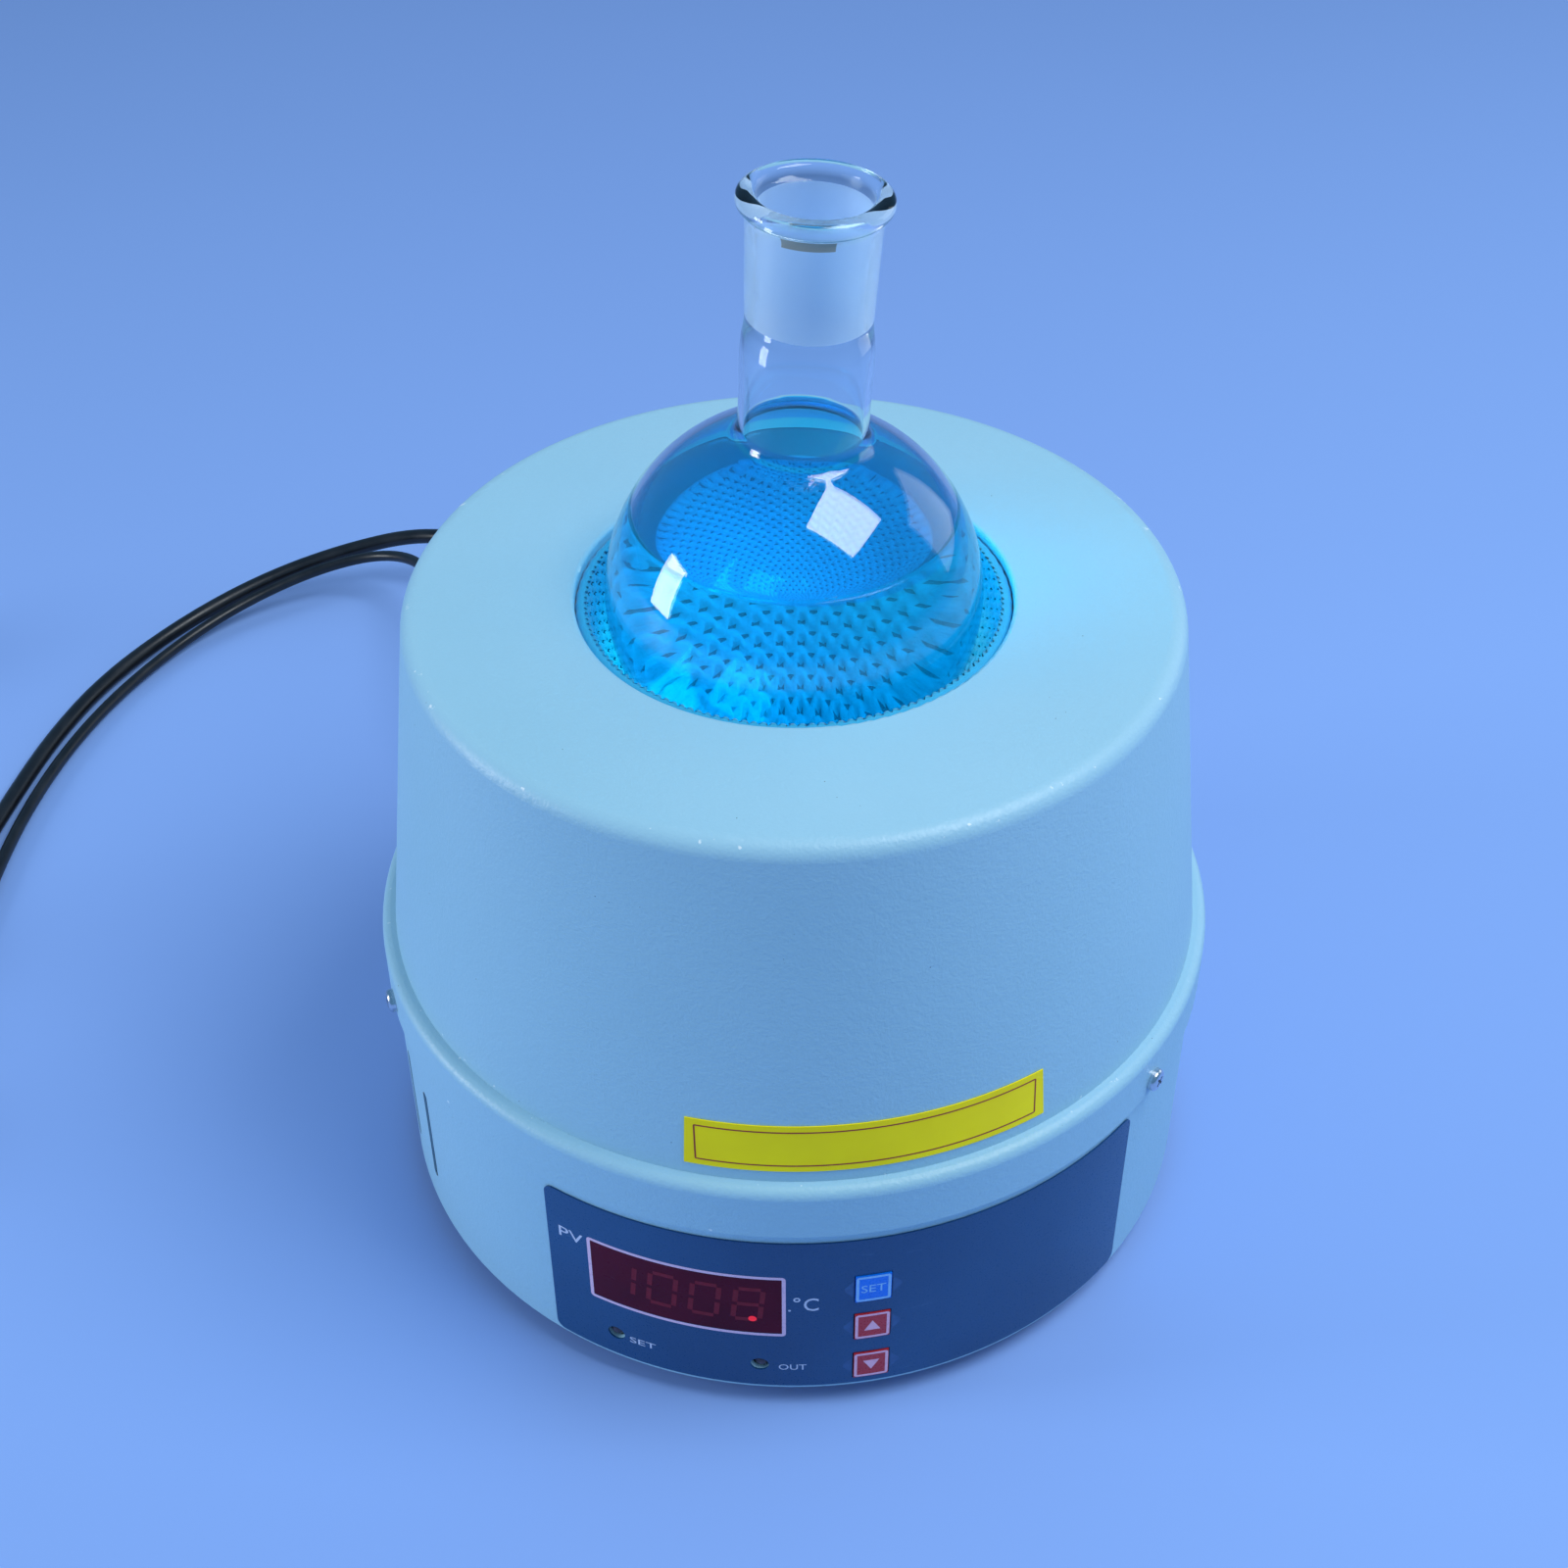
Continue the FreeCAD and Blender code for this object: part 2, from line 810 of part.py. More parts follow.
seam_screws = []
for number, azimuth in enumerate(seam_azimuths, start=1):
    name = "seam_screw_%d" % number
    shank = radial_cylinder(
        name + "_shank", azimuth, skirt_radius, S.screw_length, S.screw_radius, seam_screw_height
    )
    head = radial_cylinder(
        name + "_head",
        azimuth,
        skirt_radius + S.screw_head_height,
        S.screw_head_height,
        S.screw_head_radius,
        seam_screw_height,
    )
    seam_screws.append(fuse(name, [shank, head]))
doc.recompute()


def dome(name, screw, azimuth):
    """The screw with its head's outer rim rounded."""
    outward = Vector(math.sin(math.radians(azimuth.number)), -math.cos(math.radians(azimuth.number)), 0)
    far = max(edge.CenterOfMass.dot(outward) for edge in screw.Shape.Edges)
    rounded = doc.addObject("Part::Fillet", name)
    rounded.Base = screw
    radius = S.screw_dome.number
    rounded.Edges = [
        (number, radius, radius)
        for number, edge in enumerate(screw.Shape.Edges, start=1)
        if isinstance(edge.Curve, Part.Circle) and far - edge.CenterOfMass.dot(outward) < 0.01
    ]
    return rounded


domed = [
    dome("seam_screw_domed_%d" % number, screw, azimuth)
    for number, (screw, azimuth) in enumerate(zip(seam_screws, seam_azimuths), start=1)
]
keep("seam_screws", gather("seam_screws", domed))

# Heating well
bowl_skin = sphere("bowl_skin", bowl_outer, bowl_centre)
bowl_hollow = sphere("bowl_hollow", S.bowl_radius, bowl_centre)
bowl_above = cylinder("bowl_above", bowl_outer + S.cut_margin, bowl_outer * 2)
put(bowl_above, z=bowl_rim)
keep("heating_bowl", cut("heating_bowl", bowl_skin, [bowl_hollow, bowl_above]))

wool = cylinder(
    "wool_block", S.insulation_radius, lip_bottom - S.seat_clearance - S.insulation_bottom
)
put(wool, z=S.insulation_bottom)
wool_hollow = sphere("wool_hollow", bowl_outer + S.seat_clearance, bowl_centre)
keep("insulation", cut("insulation", wool, [wool_hollow]))

pan_bore = S.insulation_radius + S.pan_clearance
pan, _ = revolve(
    "pan_form",
    [
        (ZERO, pan_bottom),
        (pan_bore + S.pan_thickness, pan_bottom),
        (pan_bore + S.pan_thickness, pan_bottom + S.pan_wall_height),
        (pan_bore, pan_bottom + S.pan_wall_height),
        (pan_bore, pan_bottom + S.pan_thickness),
        (ZERO, pan_bottom + S.pan_thickness),
    ],
)
keep("insulation_pan", pan)
posts = []
for number, corner in enumerate(corner_azimuths, start=1):
    post = cylinder("pan_post_%d" % number, S.post_radius, pan_bottom - plate_top)
    posts.append(put_radial(post, corner, S.post_circle, plate_top))
keep("pan_posts", gather("pan_posts", posts))

# Flask and contents
bulb_bore = S.bulb_radius - S.glass
neck_foot = root(S.bulb_radius * S.bulb_radius - S.neck_radius * S.neck_radius)
bore_foot = root(bulb_bore * bulb_bore - S.neck_bore * S.neck_bore)
flask, flask_turned = revolve(
    "flask",
    [
        (ZERO, -S.bulb_radius),
        (S.neck_radius, neck_foot),
        (S.neck_radius, S.neck_top),
        (S.socket_foot_radius, S.socket_foot),
        (S.socket_top_radius, S.rim_top - S.rim_height),
        (S.rim_radius, S.rim_top - S.rim_height + S.rim_bevel),
        (S.rim_radius, S.rim_top - S.rim_bevel),
        (S.rim_radius - S.glass, S.rim_top),
        (S.socket_top_bore, S.rim_top),
        (S.socket_foot_bore, S.socket_foot),
        (S.neck_bore, S.neck_top - S.glass),
        (S.neck_bore, bore_foot),
        (ZERO, -bulb_bore),
    ],
    {0: (S.bulb_radius, 1), 11: (bulb_bore, -1)},
)
flask_shoulder = round_rims(
    flask, flask_turned, "flask_shoulder", S.neck_fillet, [(S.neck_radius, neck_foot)]
)
lean_axis = (sine(S.lean_azimuth).text, (-cosine(S.lean_azimuth)).text)
flask.setExpression(
    "Placement",
    "placement(vector(0; 0; %s); rotation(vector(%s; %s; 0); %s))"
    % (S.bulb_height.text, *lean_axis, S.flask_lean.text),
)
keep("flask", flask)

liquid_ball = sphere("liquid_ball", bulb_bore - S.liquid_clearance, S.bulb_height)
liquid_air = cylinder("liquid_air", S.bulb_radius, S.bulb_radius * 2)
put(liquid_air, z=S.bulb_height + S.liquid_level)
keep("flask_liquid", cut("flask_liquid", liquid_ball, [liquid_air]))

# Control panel
film_bore = S.base_radius + S.glue
film_radius = film_bore + S.film
panel_film = arc_sheet(
    "panel_film",
    film_bore,
    film_radius,
    S.panel_bottom,
    S.panel_height,
    -S.panel_half_angle,
    S.panel_half_angle,
)
panel_cuts = [
    wall_window(
        "film_window",
        S.display_azimuth,
        S.display_width,
        S.display_bottom,
        S.display_height,
    )
]
for key, height in key_heights.items():
    panel_cuts.append(
        wall_window(
            key + "_opening",
            S.key_azimuth,
            S.key_width + S.key_clearance * 2,
            height - S.key_height / 2 - S.key_clearance,
            S.key_height + S.key_clearance * 2,
        )
    )
for lamp, side in lamp_sides.items():
    panel_cuts.append(
        wall_bore(
            lamp + "_opening",
            S.display_azimuth,
            S.lamp_radius + S.lamp_clearance,
            S.lamp_height,
            S.lamp_offset * side,
        )
    )
panel_open = cut("panel_open", panel_film, panel_cuts)
doc.recompute()
panel = doc.addObject("Part::Fillet", "control_panel")
panel.Base = panel_open
corner_edges = []
for number, edge in enumerate(panel_open.Shape.Edges, start=1):
    middle = edge.CenterOfMass
    reach = abs(math.degrees(math.atan2(middle.x, -middle.y)))
    if edge.Length < S.film.number * 1.5 and abs(reach - S.panel_half_angle.number) < 0.1:
        corner_edges.append((number, S.panel_corner.number, S.panel_corner.number))
panel.Edges = corner_edges
keep("control_panel", panel)

filter_skin = cylinder("filter_skin", film_radius, S.display_height - S.display_clearance * 2)
put(filter_skin, z=S.display_bottom + S.display_clearance)
filter_core = cylinder("filter_core", film_bore, S.display_height + S.cut_margin * 2)
put(filter_core, z=S.display_bottom - S.cut_margin)
filter_tube = cut("filter_tube", filter_skin, [filter_core])
filter_frame = wall_window(
    "filter_frame",
    S.display_azimuth,
    S.display_width - S.display_clearance * 2,
    S.display_bottom,
    S.display_height,
)
keep("display_filter", common("display_filter", filter_tube, filter_frame))

keep(
    "display_module",
    radial_box(
        "display_module",
        S.display_azimuth,
        module_front,
        S.module_depth,
        S.module_width,
        S.display_bottom + (S.display_height - S.module_height) / 2,
        S.module_height,
    ),
)
keep(
    "display_board",
    radial_box(
        "display_board",
        S.display_azimuth,
        display_board_front,
        S.board,
        S.display_board_width,
        S.board_bottom,
        S.board_height,
    ),
)
for lamp, side in lamp_sides.items():
    stem = radial_cylinder(
        lamp + "_stem",
        S.display_azimuth,
        lamp_tip - S.lamp_radius,
        lamp_tip - S.lamp_radius - display_board_front,
        S.lamp_radius,
        S.lamp_height,
        S.lamp_offset * side,
    )
    tip = doc.addObject("Part::Sphere", lamp + "_tip")
    bind(tip, Radius=S.lamp_radius)
    put_radial(
        tip, S.display_azimuth, lamp_tip - S.lamp_radius, S.lamp_height, S.lamp_offset * side
    )
    keep(lamp, fuse(lamp, [stem, tip]))

# Keys: a cap through the panel, a flange behind the wall and a stem to its switch.
flange_face = base_bore - S.key_flange_gap
for key, height in key_heights.items():
    cap = radial_box(
        key + "_cap",
        S.key_azimuth,
        key_back + S.cut_margin,
        key_back + S.cut_margin - flange_face + S.key_flange_depth,
        S.key_width,
        height - S.key_height / 2,
        S.key_height,
    )
    flange = radial_box(
        key + "_flange",
        S.key_azimuth,
        flange_face,
        S.key_flange_depth,
        S.key_width + S.key_flange * 2,
        height - S.key_height / 2 - S.key_flange,
        S.key_height + S.key_flange * 2,
    )
    stem = radial_cylinder(
        key + "_stem",
        S.key_azimuth,
        flange_face - S.key_flange_depth,
        S.key_stem - S.key_flange_depth,
        S.plunger_radius,
        height,
    )
    rough = fuse(key + "_rough", [cap, flange, stem])
    front = cylinder(key + "_front", key_back, S.mantle_height)
    keep(key, common(key, rough, front))

plunger_top = flange_face - S.key_stem - S.plunger_gap
key_board_front = plunger_top - S.switch_plunger - S.switch_body
keep(
    "key_board",
    radial_box(
        "key_board",
        S.key_azimuth,
        key_board_front,
        S.board,
        S.key_board_width,
        S.board_bottom,
        S.board_height,
    ),
)
switches = []
for key, height in key_heights.items():
    housing = radial_box(
        key + "_switch",
        S.key_azimuth,
        key_board_front + S.switch_body,
        S.switch_body,
        S.switch_size,
        height - S.switch_size / 2,
        S.switch_size,
    )
    plunger = radial_cylinder(
        key + "_plunger",
        S.key_azimuth,
        plunger_top,
        S.switch_plunger,
        S.plunger_radius,
        height,
    )
    switches.append(fuse(key + "_contact", [housing, plunger]))
keep("key_switches", gather("key_switches", switches))


def wall_studs(prefix, azimuth, board_front, half_width, radius):
    """Four welded studs from the shell's wall to a board's corners."""
    studs = []
    reach = half_width + radius
    wall_face = root(base_bore * base_bore - reach * reach) - S.glue
    for side in (-1, 1):
        for level in (S.board_bottom + S.stud_inset, S.board_bottom + S.board_height - S.stud_inset):
            stud = radial_cylinder(
                "%s_%d" % (prefix, len(studs) + 1),
                azimuth,
                wall_face,
                wall_face - board_front,
                radius,
                level,
                half_width * side,
            )
            studs.append(stud)
    return studs


studs = wall_studs(
    "display_stud",
    S.display_azimuth,
    display_board_front,
    S.display_board_width / 2 - S.display_stud_side,
    S.stud_radius,
)
studs += wall_studs(
    "key_stud",
    S.key_azimuth,
    key_board_front,
    S.key_board_width / 2 - S.key_stud_side,
    S.key_stud_radius,
)
keep("board_studs", gather("board_studs", studs))

# Yellow strip on cone
cone_height = S.mantle_height - cone_foot
cone_slope = (cone_bottom_radius - top_radius) / cone_height
strip_low = cone_bottom_radius - cone_slope * (S.strip_bottom - cone_foot)
strip_high = strip_low - cone_slope * S.strip_height
strip_skin = cone(
    "strip_skin",
    strip_low + S.glue + S.strip_thickness,
    strip_high + S.glue + S.strip_thickness,
    S.strip_height,
)
bind(strip_skin, Angle=S.strip_right - S.strip_left)
put(strip_skin, z=S.strip_bottom, turn=S.strip_left - 90)
strip_core = cone(
    "strip_core",
    strip_low + S.glue + cone_slope * S.cut_margin,
    strip_high + S.glue - cone_slope * S.cut_margin,
    S.strip_height + S.cut_margin * 2,
)
put(strip_core, z=S.strip_bottom - S.cut_margin)
keep("yellow_strip", cut("yellow_strip", strip_skin, [strip_core]))

# Power switch
switch_front = S.base_radius + S.bezel_depth
bezel = radial_box(
    "switch_bezel",
    S.switch_azimuth,
    switch_front,
    S.bezel_depth,
    S.bezel_width,
    S.rear_height - S.bezel_height / 2,
    S.bezel_height,
)
housing = radial_box(
    "switch_housing",
    S.switch_azimuth,
    S.base_radius,
    S.switch_depth,
    S.switch_width,
    S.rear_height - S.switch_height / 2,
    S.switch_height,
)
cavity_width = S.switch_width - S.switch_wall * 2
cavity_height = S.switch_height - S.switch_wall * 2 + S.rocker_clearance
cavity = radial_box(
    "switch_cavity",
    S.switch_azimuth,
    switch_front + S.cut_margin,
    S.switch_depth,
    cavity_width,
    S.rear_height - cavity_height / 2,
    cavity_height,
)
switch_block = fuse("switch_block", [bezel, housing])
keep("power_switch_frame", cut("power_switch_frame", switch_block, [cavity]))

pivot_radius = S.base_radius - S.rocker_pivot
rocker_body = doc.addObject("PartDesign::Body", "power_rocker")
rocker_sketch = profile(
    rocker_body,
    "YZ_Plane",
    "rocker_outline",
    [
        (-S.rocker_face, -S.rocker_radius),
        (-S.rocker_face - S.rocker_lip, -S.rocker_radius + S.rocker_edge),
        (-S.rocker_face, ZERO),
        (-S.rocker_face - S.rocker_lip, S.rocker_radius - S.rocker_edge),
        (-S.rocker_face, S.rocker_radius),
        (S.rocker_face / 2, S.rocker_back),
        (S.rocker_face / 2, -S.rocker_back),
    ],
)
rocker_pad = rocker_body.newObject("PartDesign::Pad", "rocker_pad")
rocker_pad.Profile = rocker_sketch
bind(rocker_pad, Length=cavity_width - S.rocker_clearance * 2)
rocker_pad.Midplane = True
put_radial(rocker_body, S.switch_azimuth, pivot_radius, S.rear_height, 0, S.rocker_tilt)
keep("power_rocker", rocker_body)

# Fuse, sensor socket, gland
fuse_parts = [
    radial_cylinder(
        "fuse_rim",
        S.fuse_azimuth,
        S.base_radius + S.fuse_flange_depth,
        S.fuse_flange_depth,
        S.fuse_flange,
        S.rear_height,
    ),
    radial_cylinder(
        "fuse_cap",
        S.fuse_azimuth,
        S.base_radius + S.fuse_flange_depth + S.fuse_cap_depth,
        S.fuse_cap_depth,
        S.fuse_cap_radius,
        S.rear_height,
    ),
    radial_cylinder(
        "fuse_tube",
        S.fuse_azimuth,
        S.base_radius,
        S.fuse_body,
        S.fuse_radius,
        S.rear_height,
    ),
]
keep("fuse_holder", fuse("fuse_holder", fuse_parts))
inlet_parts = [
    radial_cylinder(
        "inlet_rim",
        S.socket_azimuth,
        S.base_radius + S.inlet_flange_depth,
        S.inlet_flange_depth,
        S.inlet_flange,
        S.rear_height,
    ),
    radial_cylinder(
        "inlet_tube",
        S.socket_azimuth,
        S.base_radius + S.inlet_barrel,
        S.inlet_barrel + S.inlet_body,
        S.inlet_radius,
        S.rear_height,
    ),
]
keep("sensor_socket", fuse("sensor_socket", inlet_parts))
gland_face = S.base_radius + S.gland_nut
gland_outer = gland_face + S.gland_length
gland_nut = radial_cylinder(
    "gland_nut", S.gland_azimuth, gland_face, S.gland_nut, S.gland_flange, S.rear_height
)
gland_shank = radial_cylinder(
    "gland_shank", S.gland_azimuth, S.base_radius, S.gland_shank, S.gland_radius, S.rear_height
)
gland_tail = cone("gland_tail", S.gland_tip_radius, S.gland_flange - 1, S.gland_length)
put_radial(gland_tail, S.gland_azimuth, gland_outer, S.rear_height, 0, -90)
keep("mains_strain_relief", fuse("mains_strain_relief", [gland_nut, gland_shank, gland_tail]))

connector_front = S.base_radius + S.inlet_barrel
connector_outer = connector_front + S.connector_length
connector_shell = radial_cylinder(
    "connector_shell",
    S.socket_azimuth,
    connector_outer - S.connector_tail,
    S.connector_length - S.connector_tail,
    S.connector_radius,
    S.rear_height,
)
connector_tail = cone(
    "connector_tail",
    S.connector_tip_radius,
    S.connector_tail_radius,
    S.connector_tail,
)
put_radial(connector_tail, S.socket_azimuth, connector_outer, S.rear_height, 0, -90)
keep("sensor_connector", fuse("sensor_connector", [connector_shell, connector_tail]))

# Electrics on the plate
limb = S.transformer_limb
window_width = (S.transformer_width - limb * 2) / 2
window_height = S.transformer_height - limb
core_block = box("core_block", S.transformer_width, S.transformer_depth, S.transformer_height)
put(
    core_block,
    S.transformer_x - S.transformer_width / 2,
    S.transformer_y - S.transformer_depth / 2,
    plate_top,
)
core_windows = []
for side in (-1, 1):
    window = box(
        "core_window_%s" % ("left" if side < 0 else "right"),
        window_width,
        S.transformer_depth + S.cut_margin * 2,
        window_height,
    )
    middle = S.transformer_x + (limb / 2 + window_width / 2) * side
    put(
        window,
        middle - window_width / 2,
        S.transformer_y - S.transformer_depth / 2 - S.cut_margin,
        plate_top + limb / 2,
    )
    core_windows.append(window)
keep("transformer_core", cut("transformer_core", core_block, core_windows))
play = S.winding_clearance
winding_width = limb + window_width * 2 - play * 2
winding_depth = S.transformer_depth + S.winding_bulge * 2
winding_block = box("winding_block", winding_width, winding_depth, window_height - play * 2)
put(
    winding_block,
    S.transformer_x - winding_width / 2,
    S.transformer_y - winding_depth / 2,
    plate_top + limb / 2 + play,
)
winding_hole = box(
    "winding_hole", limb + play * 2, S.transformer_depth + play * 2, window_height + S.cut_margin * 2
)
put(
    winding_hole,
    S.transformer_x - limb / 2 - play,
    S.transformer_y - S.transformer_depth / 2 - play,
    plate_top + limb / 2 - S.cut_margin,
)
keep("transformer_winding", cut("transformer_winding", winding_block, [winding_hole]))

sink_parts = [box("sink_back", S.sink_width, S.sink_base, S.sink_height)]
put(
    sink_parts[0],
    S.sink_x - S.sink_width / 2,
    S.sink_y - S.sink_depth / 2,
    plate_top,
)
fin_pitch = (S.sink_width - S.fin) / (S.fin_count - 1)
for number in range(int(S.fin_count.number)):
    fin = box("sink_fin_%d" % (number + 1), S.fin, S.sink_depth, S.sink_height)
    put(
        fin,
        S.sink_x - S.sink_width / 2 + fin_pitch * number,
        S.sink_y - S.sink_depth / 2,
        plate_top,
    )
    sink_parts.append(fin)
keep("heat_sink", fuse("heat_sink", sink_parts))
triac = box("triac", S.triac_width, S.triac_depth, S.triac_height)
put(
    triac,
    S.sink_x - S.triac_width / 2,
    S.sink_y - S.sink_depth / 2 - S.triac_depth,
    plate_top + S.sink_height / 4,
)
keep("triac", triac)
terminal_block = box("terminal_block", S.terminal_width, S.terminal_depth, S.terminal_height)
put(terminal_block, S.terminal_width / -2, S.terminal_y - S.terminal_depth / 2, plate_top)
terminal_bores = []
for side in (-1, 1):
    bore = cylinder(
        "terminal_bore_%s" % ("left" if side < 0 else "right"),
        S.terminal_bore,
        S.terminal_height,
    )
    put(bore, S.terminal_width / 4 * side, S.terminal_y, plate_top + S.terminal_height / 3)
    terminal_bores.append(bore)
keep("heater_terminals", cut("heater_terminals", terminal_block, terminal_bores))


# Free leads
def rounded_path(points):
    """Straight runs joined by tangent arcs, and the arcs' radii."""
    corners = [Vector(*point) for point in points]
    edges = []
    radii = []
    last = corners[0]
    for before, here, after in zip(corners, corners[1:], corners[2:]):
        into = here - before
        out = after - here
        turn = into.getAngle(out)
        shorter = min(into.Length, out.Length)
        trim = 0.45 * shorter
        radii.append(trim / math.tan(turn / 2))
        into.normalize()
        out.normalize()
        start = here - into * trim
        finish = here + out * trim
        bisector = out - into
        bisector.normalize()
        centre = here + bisector * (radii[-1] / math.cos(turn / 2))
        middle = centre - bisector * radii[-1]
        edges.append(Part.LineSegment(last, start).toShape())
        edges.append(Part.Arc(start, middle, finish).toShape())
        last = finish
    edges.append(Part.LineSegment(last, corners[-1]).toShape())
    return Part.Wire(edges), radii


def lead(label, points, diameter):
    """A round lead along a route."""
    path, radii = rounded_path(points)
    start, after = Vector(*points[0]), Vector(*points[1])
    ring = Part.Wire([Part.Circle(start, after - start, diameter.number / 2).toShape()])
    solid = path.makePipeShell([ring], True, True)
    obj = doc.addObject("Part::Feature", label)
    obj.Shape = solid
    keep(label, obj)
    section = math.pi * diameter.number**2 / 4
    print(
        "%s length %.1f, volume share %.4f, radii %s"
        % (label, path.Length, solid.Volume / (section * path.Length), [round(r) for r in radii])
    )
    return path.Length


def on_ray(azimuth, radius, height):
    angle = math.radians(azimuth.number)
    return (radius.number * math.sin(angle), -radius.number * math.cos(angle), height.number)


def coil(label, centre, ring, bundle):
    """The closed outer shape of a coil of lead that lies on the floor."""
    outside = cylinder(label + "_outside", ring + bundle / 2, bundle)
    put(outside, centre[0], centre[1], 0)
    inside = cylinder(label + "_inside", ring - bundle / 2, bundle + S.cut_margin * 2)
    put(inside, centre[0], centre[1], -S.cut_margin)
    return keep(label, cut(label, outside, [inside]))


mains_start = on_ray(S.gland_azimuth, gland_outer, S.rear_height)
mains_first = on_ray(S.gland_azimuth, gland_outer + S.lead_first_run, S.rear_height)
lead("mains_cord", [mains_start, mains_first] + MAINS_ROUTE, S.mains_diameter)
coil("mains_coil", MAINS_COIL, S.mains_ring, S.mains_bundle)
lead("mains_tail", MAINS_TAIL, S.mains_diameter)
sensor_start = on_ray(S.socket_azimuth, connector_outer, S.rear_height)
sensor_first = on_ray(S.socket_azimuth, connector_outer + S.lead_first_run, S.rear_height)
lead("sensor_cord", [sensor_start, sensor_first] + SENSOR_ROUTE, S.sensor_diameter)
coil("sensor_coil", SENSOR_COIL, S.sensor_ring, S.sensor_bundle)
lead("sensor_tail", SENSOR_TAIL, S.sensor_diameter)

# Plug with two round pins, its axis along +Y at its own radius above the floor.
plug_x, plug_y, plug_z = MAINS_TAIL[-1]
relief = cone("plug_relief", S.relief_tip_radius, S.relief_radius, S.plug_relief)
put(relief, plug_x, plug_y, plug_z, 0, -90)
grip = cylinder("plug_grip", S.plug_radius, S.plug_body)
put(grip, plug_x, S.plug_relief + plug_y, plug_z, 0, -90)
plug_parts = [relief, grip]
for side in (-1, 1):
    prong = cylinder(
        "plug_pin_%s" % ("left" if side < 0 else "right"), S.pin_radius, S.pin_length
    )
    put(
        prong,
        S.pin_spacing / 2 * side + plug_x,
        S.plug_relief + S.plug_body + plug_y,
        plug_z,
        0,
        -90,
    )
    plug_parts.append(prong)
keep("mains_plug", fuse("mains_plug", plug_parts))

probe_x, probe_y, probe_z = SENSOR_TAIL[-1]
probe = cylinder("sensor_probe", S.probe_diameter / 2, S.probe_length)
put(probe, probe_x, probe_y, probe_z, 0, 90)
keep("sensor_probe", probe)

# Output
doc.recompute()
for obj in doc.Objects:
    if "Invalid" in obj.State or "Error" in obj.State:
        raise RuntimeError("%s failed: %s" % (obj.Name, obj.State))
for label, obj in nodes.items():
    shape = obj.Shape
    if shape.isNull() or not shape.isValid() or not shape.Solids:
        raise RuntimeError("%s has no valid solid" % label)
os.makedirs("parts", exist_ok=True)
for label, obj in nodes.items():
    obj.Shape.exportStep("parts/%s.step" % label)
print("%d sub-parts written" % len(nodes))
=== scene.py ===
import json
import math

import bpy
import numpy as np
from mathutils import Matrix, Vector
from mathutils.bvhtree import BVHTree


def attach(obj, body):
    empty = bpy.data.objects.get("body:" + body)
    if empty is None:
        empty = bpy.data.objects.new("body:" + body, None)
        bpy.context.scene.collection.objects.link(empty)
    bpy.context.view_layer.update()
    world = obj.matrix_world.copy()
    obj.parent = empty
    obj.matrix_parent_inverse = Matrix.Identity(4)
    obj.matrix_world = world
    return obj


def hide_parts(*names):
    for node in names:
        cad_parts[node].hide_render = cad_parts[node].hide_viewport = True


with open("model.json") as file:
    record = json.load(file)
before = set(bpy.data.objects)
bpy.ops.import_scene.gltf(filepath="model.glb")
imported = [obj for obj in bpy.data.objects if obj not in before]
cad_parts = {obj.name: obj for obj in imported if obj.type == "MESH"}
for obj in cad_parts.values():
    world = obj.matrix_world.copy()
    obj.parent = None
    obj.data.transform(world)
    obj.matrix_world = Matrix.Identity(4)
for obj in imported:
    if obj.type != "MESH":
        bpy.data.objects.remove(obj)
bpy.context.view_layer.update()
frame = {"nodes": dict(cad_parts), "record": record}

# Looks of an electric heating mantle with a flask of blue liquid. Sizes are in
# millimetres and turned into metres where a mesh or a curve is made. The frame
# is the CAD's: +Z up, the floor at 0, the control panel towards -Y. An azimuth
# is measured about Z from the front, positive towards +X.

NODES = frame["nodes"]
MM = 0.001

# Radii, heights and azimuths that the CAD gives
BASE_RADIUS = 124
FILM_RADIUS = 124.55
KEY_RADIUS = 124.95
CONE_FOOT = (121.5, 96.1)  # radius, height
CONE_TOP = (108.5, 203)
BULB_HEIGHT = 203
REAR_HEIGHT = 42
GLAND_AZIMUTH = -166
SOCKET_AZIMUTH = -152
FUSE_AZIMUTH = 166
DISPLAY_AZIMUTH = -22.9
KEY_AZIMUTH = 1.8


def polar(azimuth, radius, height):
    """A point by azimuth in degrees, radius and height in millimetres."""
    turn = math.radians(azimuth)
    return Vector((radius * math.sin(turn), -radius * math.cos(turn), height))


def metres(points):
    return [Vector(point) * MM for point in points]


# Camera: worked out from the outline of the mantle and the flask

FOCAL_PIXELS = 2300
IMAGE_PIXELS = 1600
PRINCIPAL_POINT = (810.3, 767.2)
CAMERA_PLACE = Vector((-0.0750, -0.5076, 0.5645))
CAMERA_AIM = Vector((0, 0, 0.1445))
camera_data = bpy.data.cameras.new("camera")
camera_data.lens = camera_data.sensor_width * FOCAL_PIXELS / IMAGE_PIXELS
camera_data.shift_x = (IMAGE_PIXELS / 2 - PRINCIPAL_POINT[0]) / IMAGE_PIXELS
camera_data.shift_y = (PRINCIPAL_POINT[1] - IMAGE_PIXELS / 2) / IMAGE_PIXELS
camera = bpy.data.objects.new("camera", camera_data)
camera.location = CAMERA_PLACE
camera.rotation_euler = (CAMERA_AIM - CAMERA_PLACE).to_track_quat("-Z", "Y").to_euler()
bpy.context.scene.collection.objects.link(camera)
bpy.context.scene.camera = camera

# Materials: lengths in metres, noise scales per metre

NOISE_LOW = 0.3
NOISE_HIGH = 0.7
GLASS_IOR = 1.47
LIQUID_IOR = 1.33


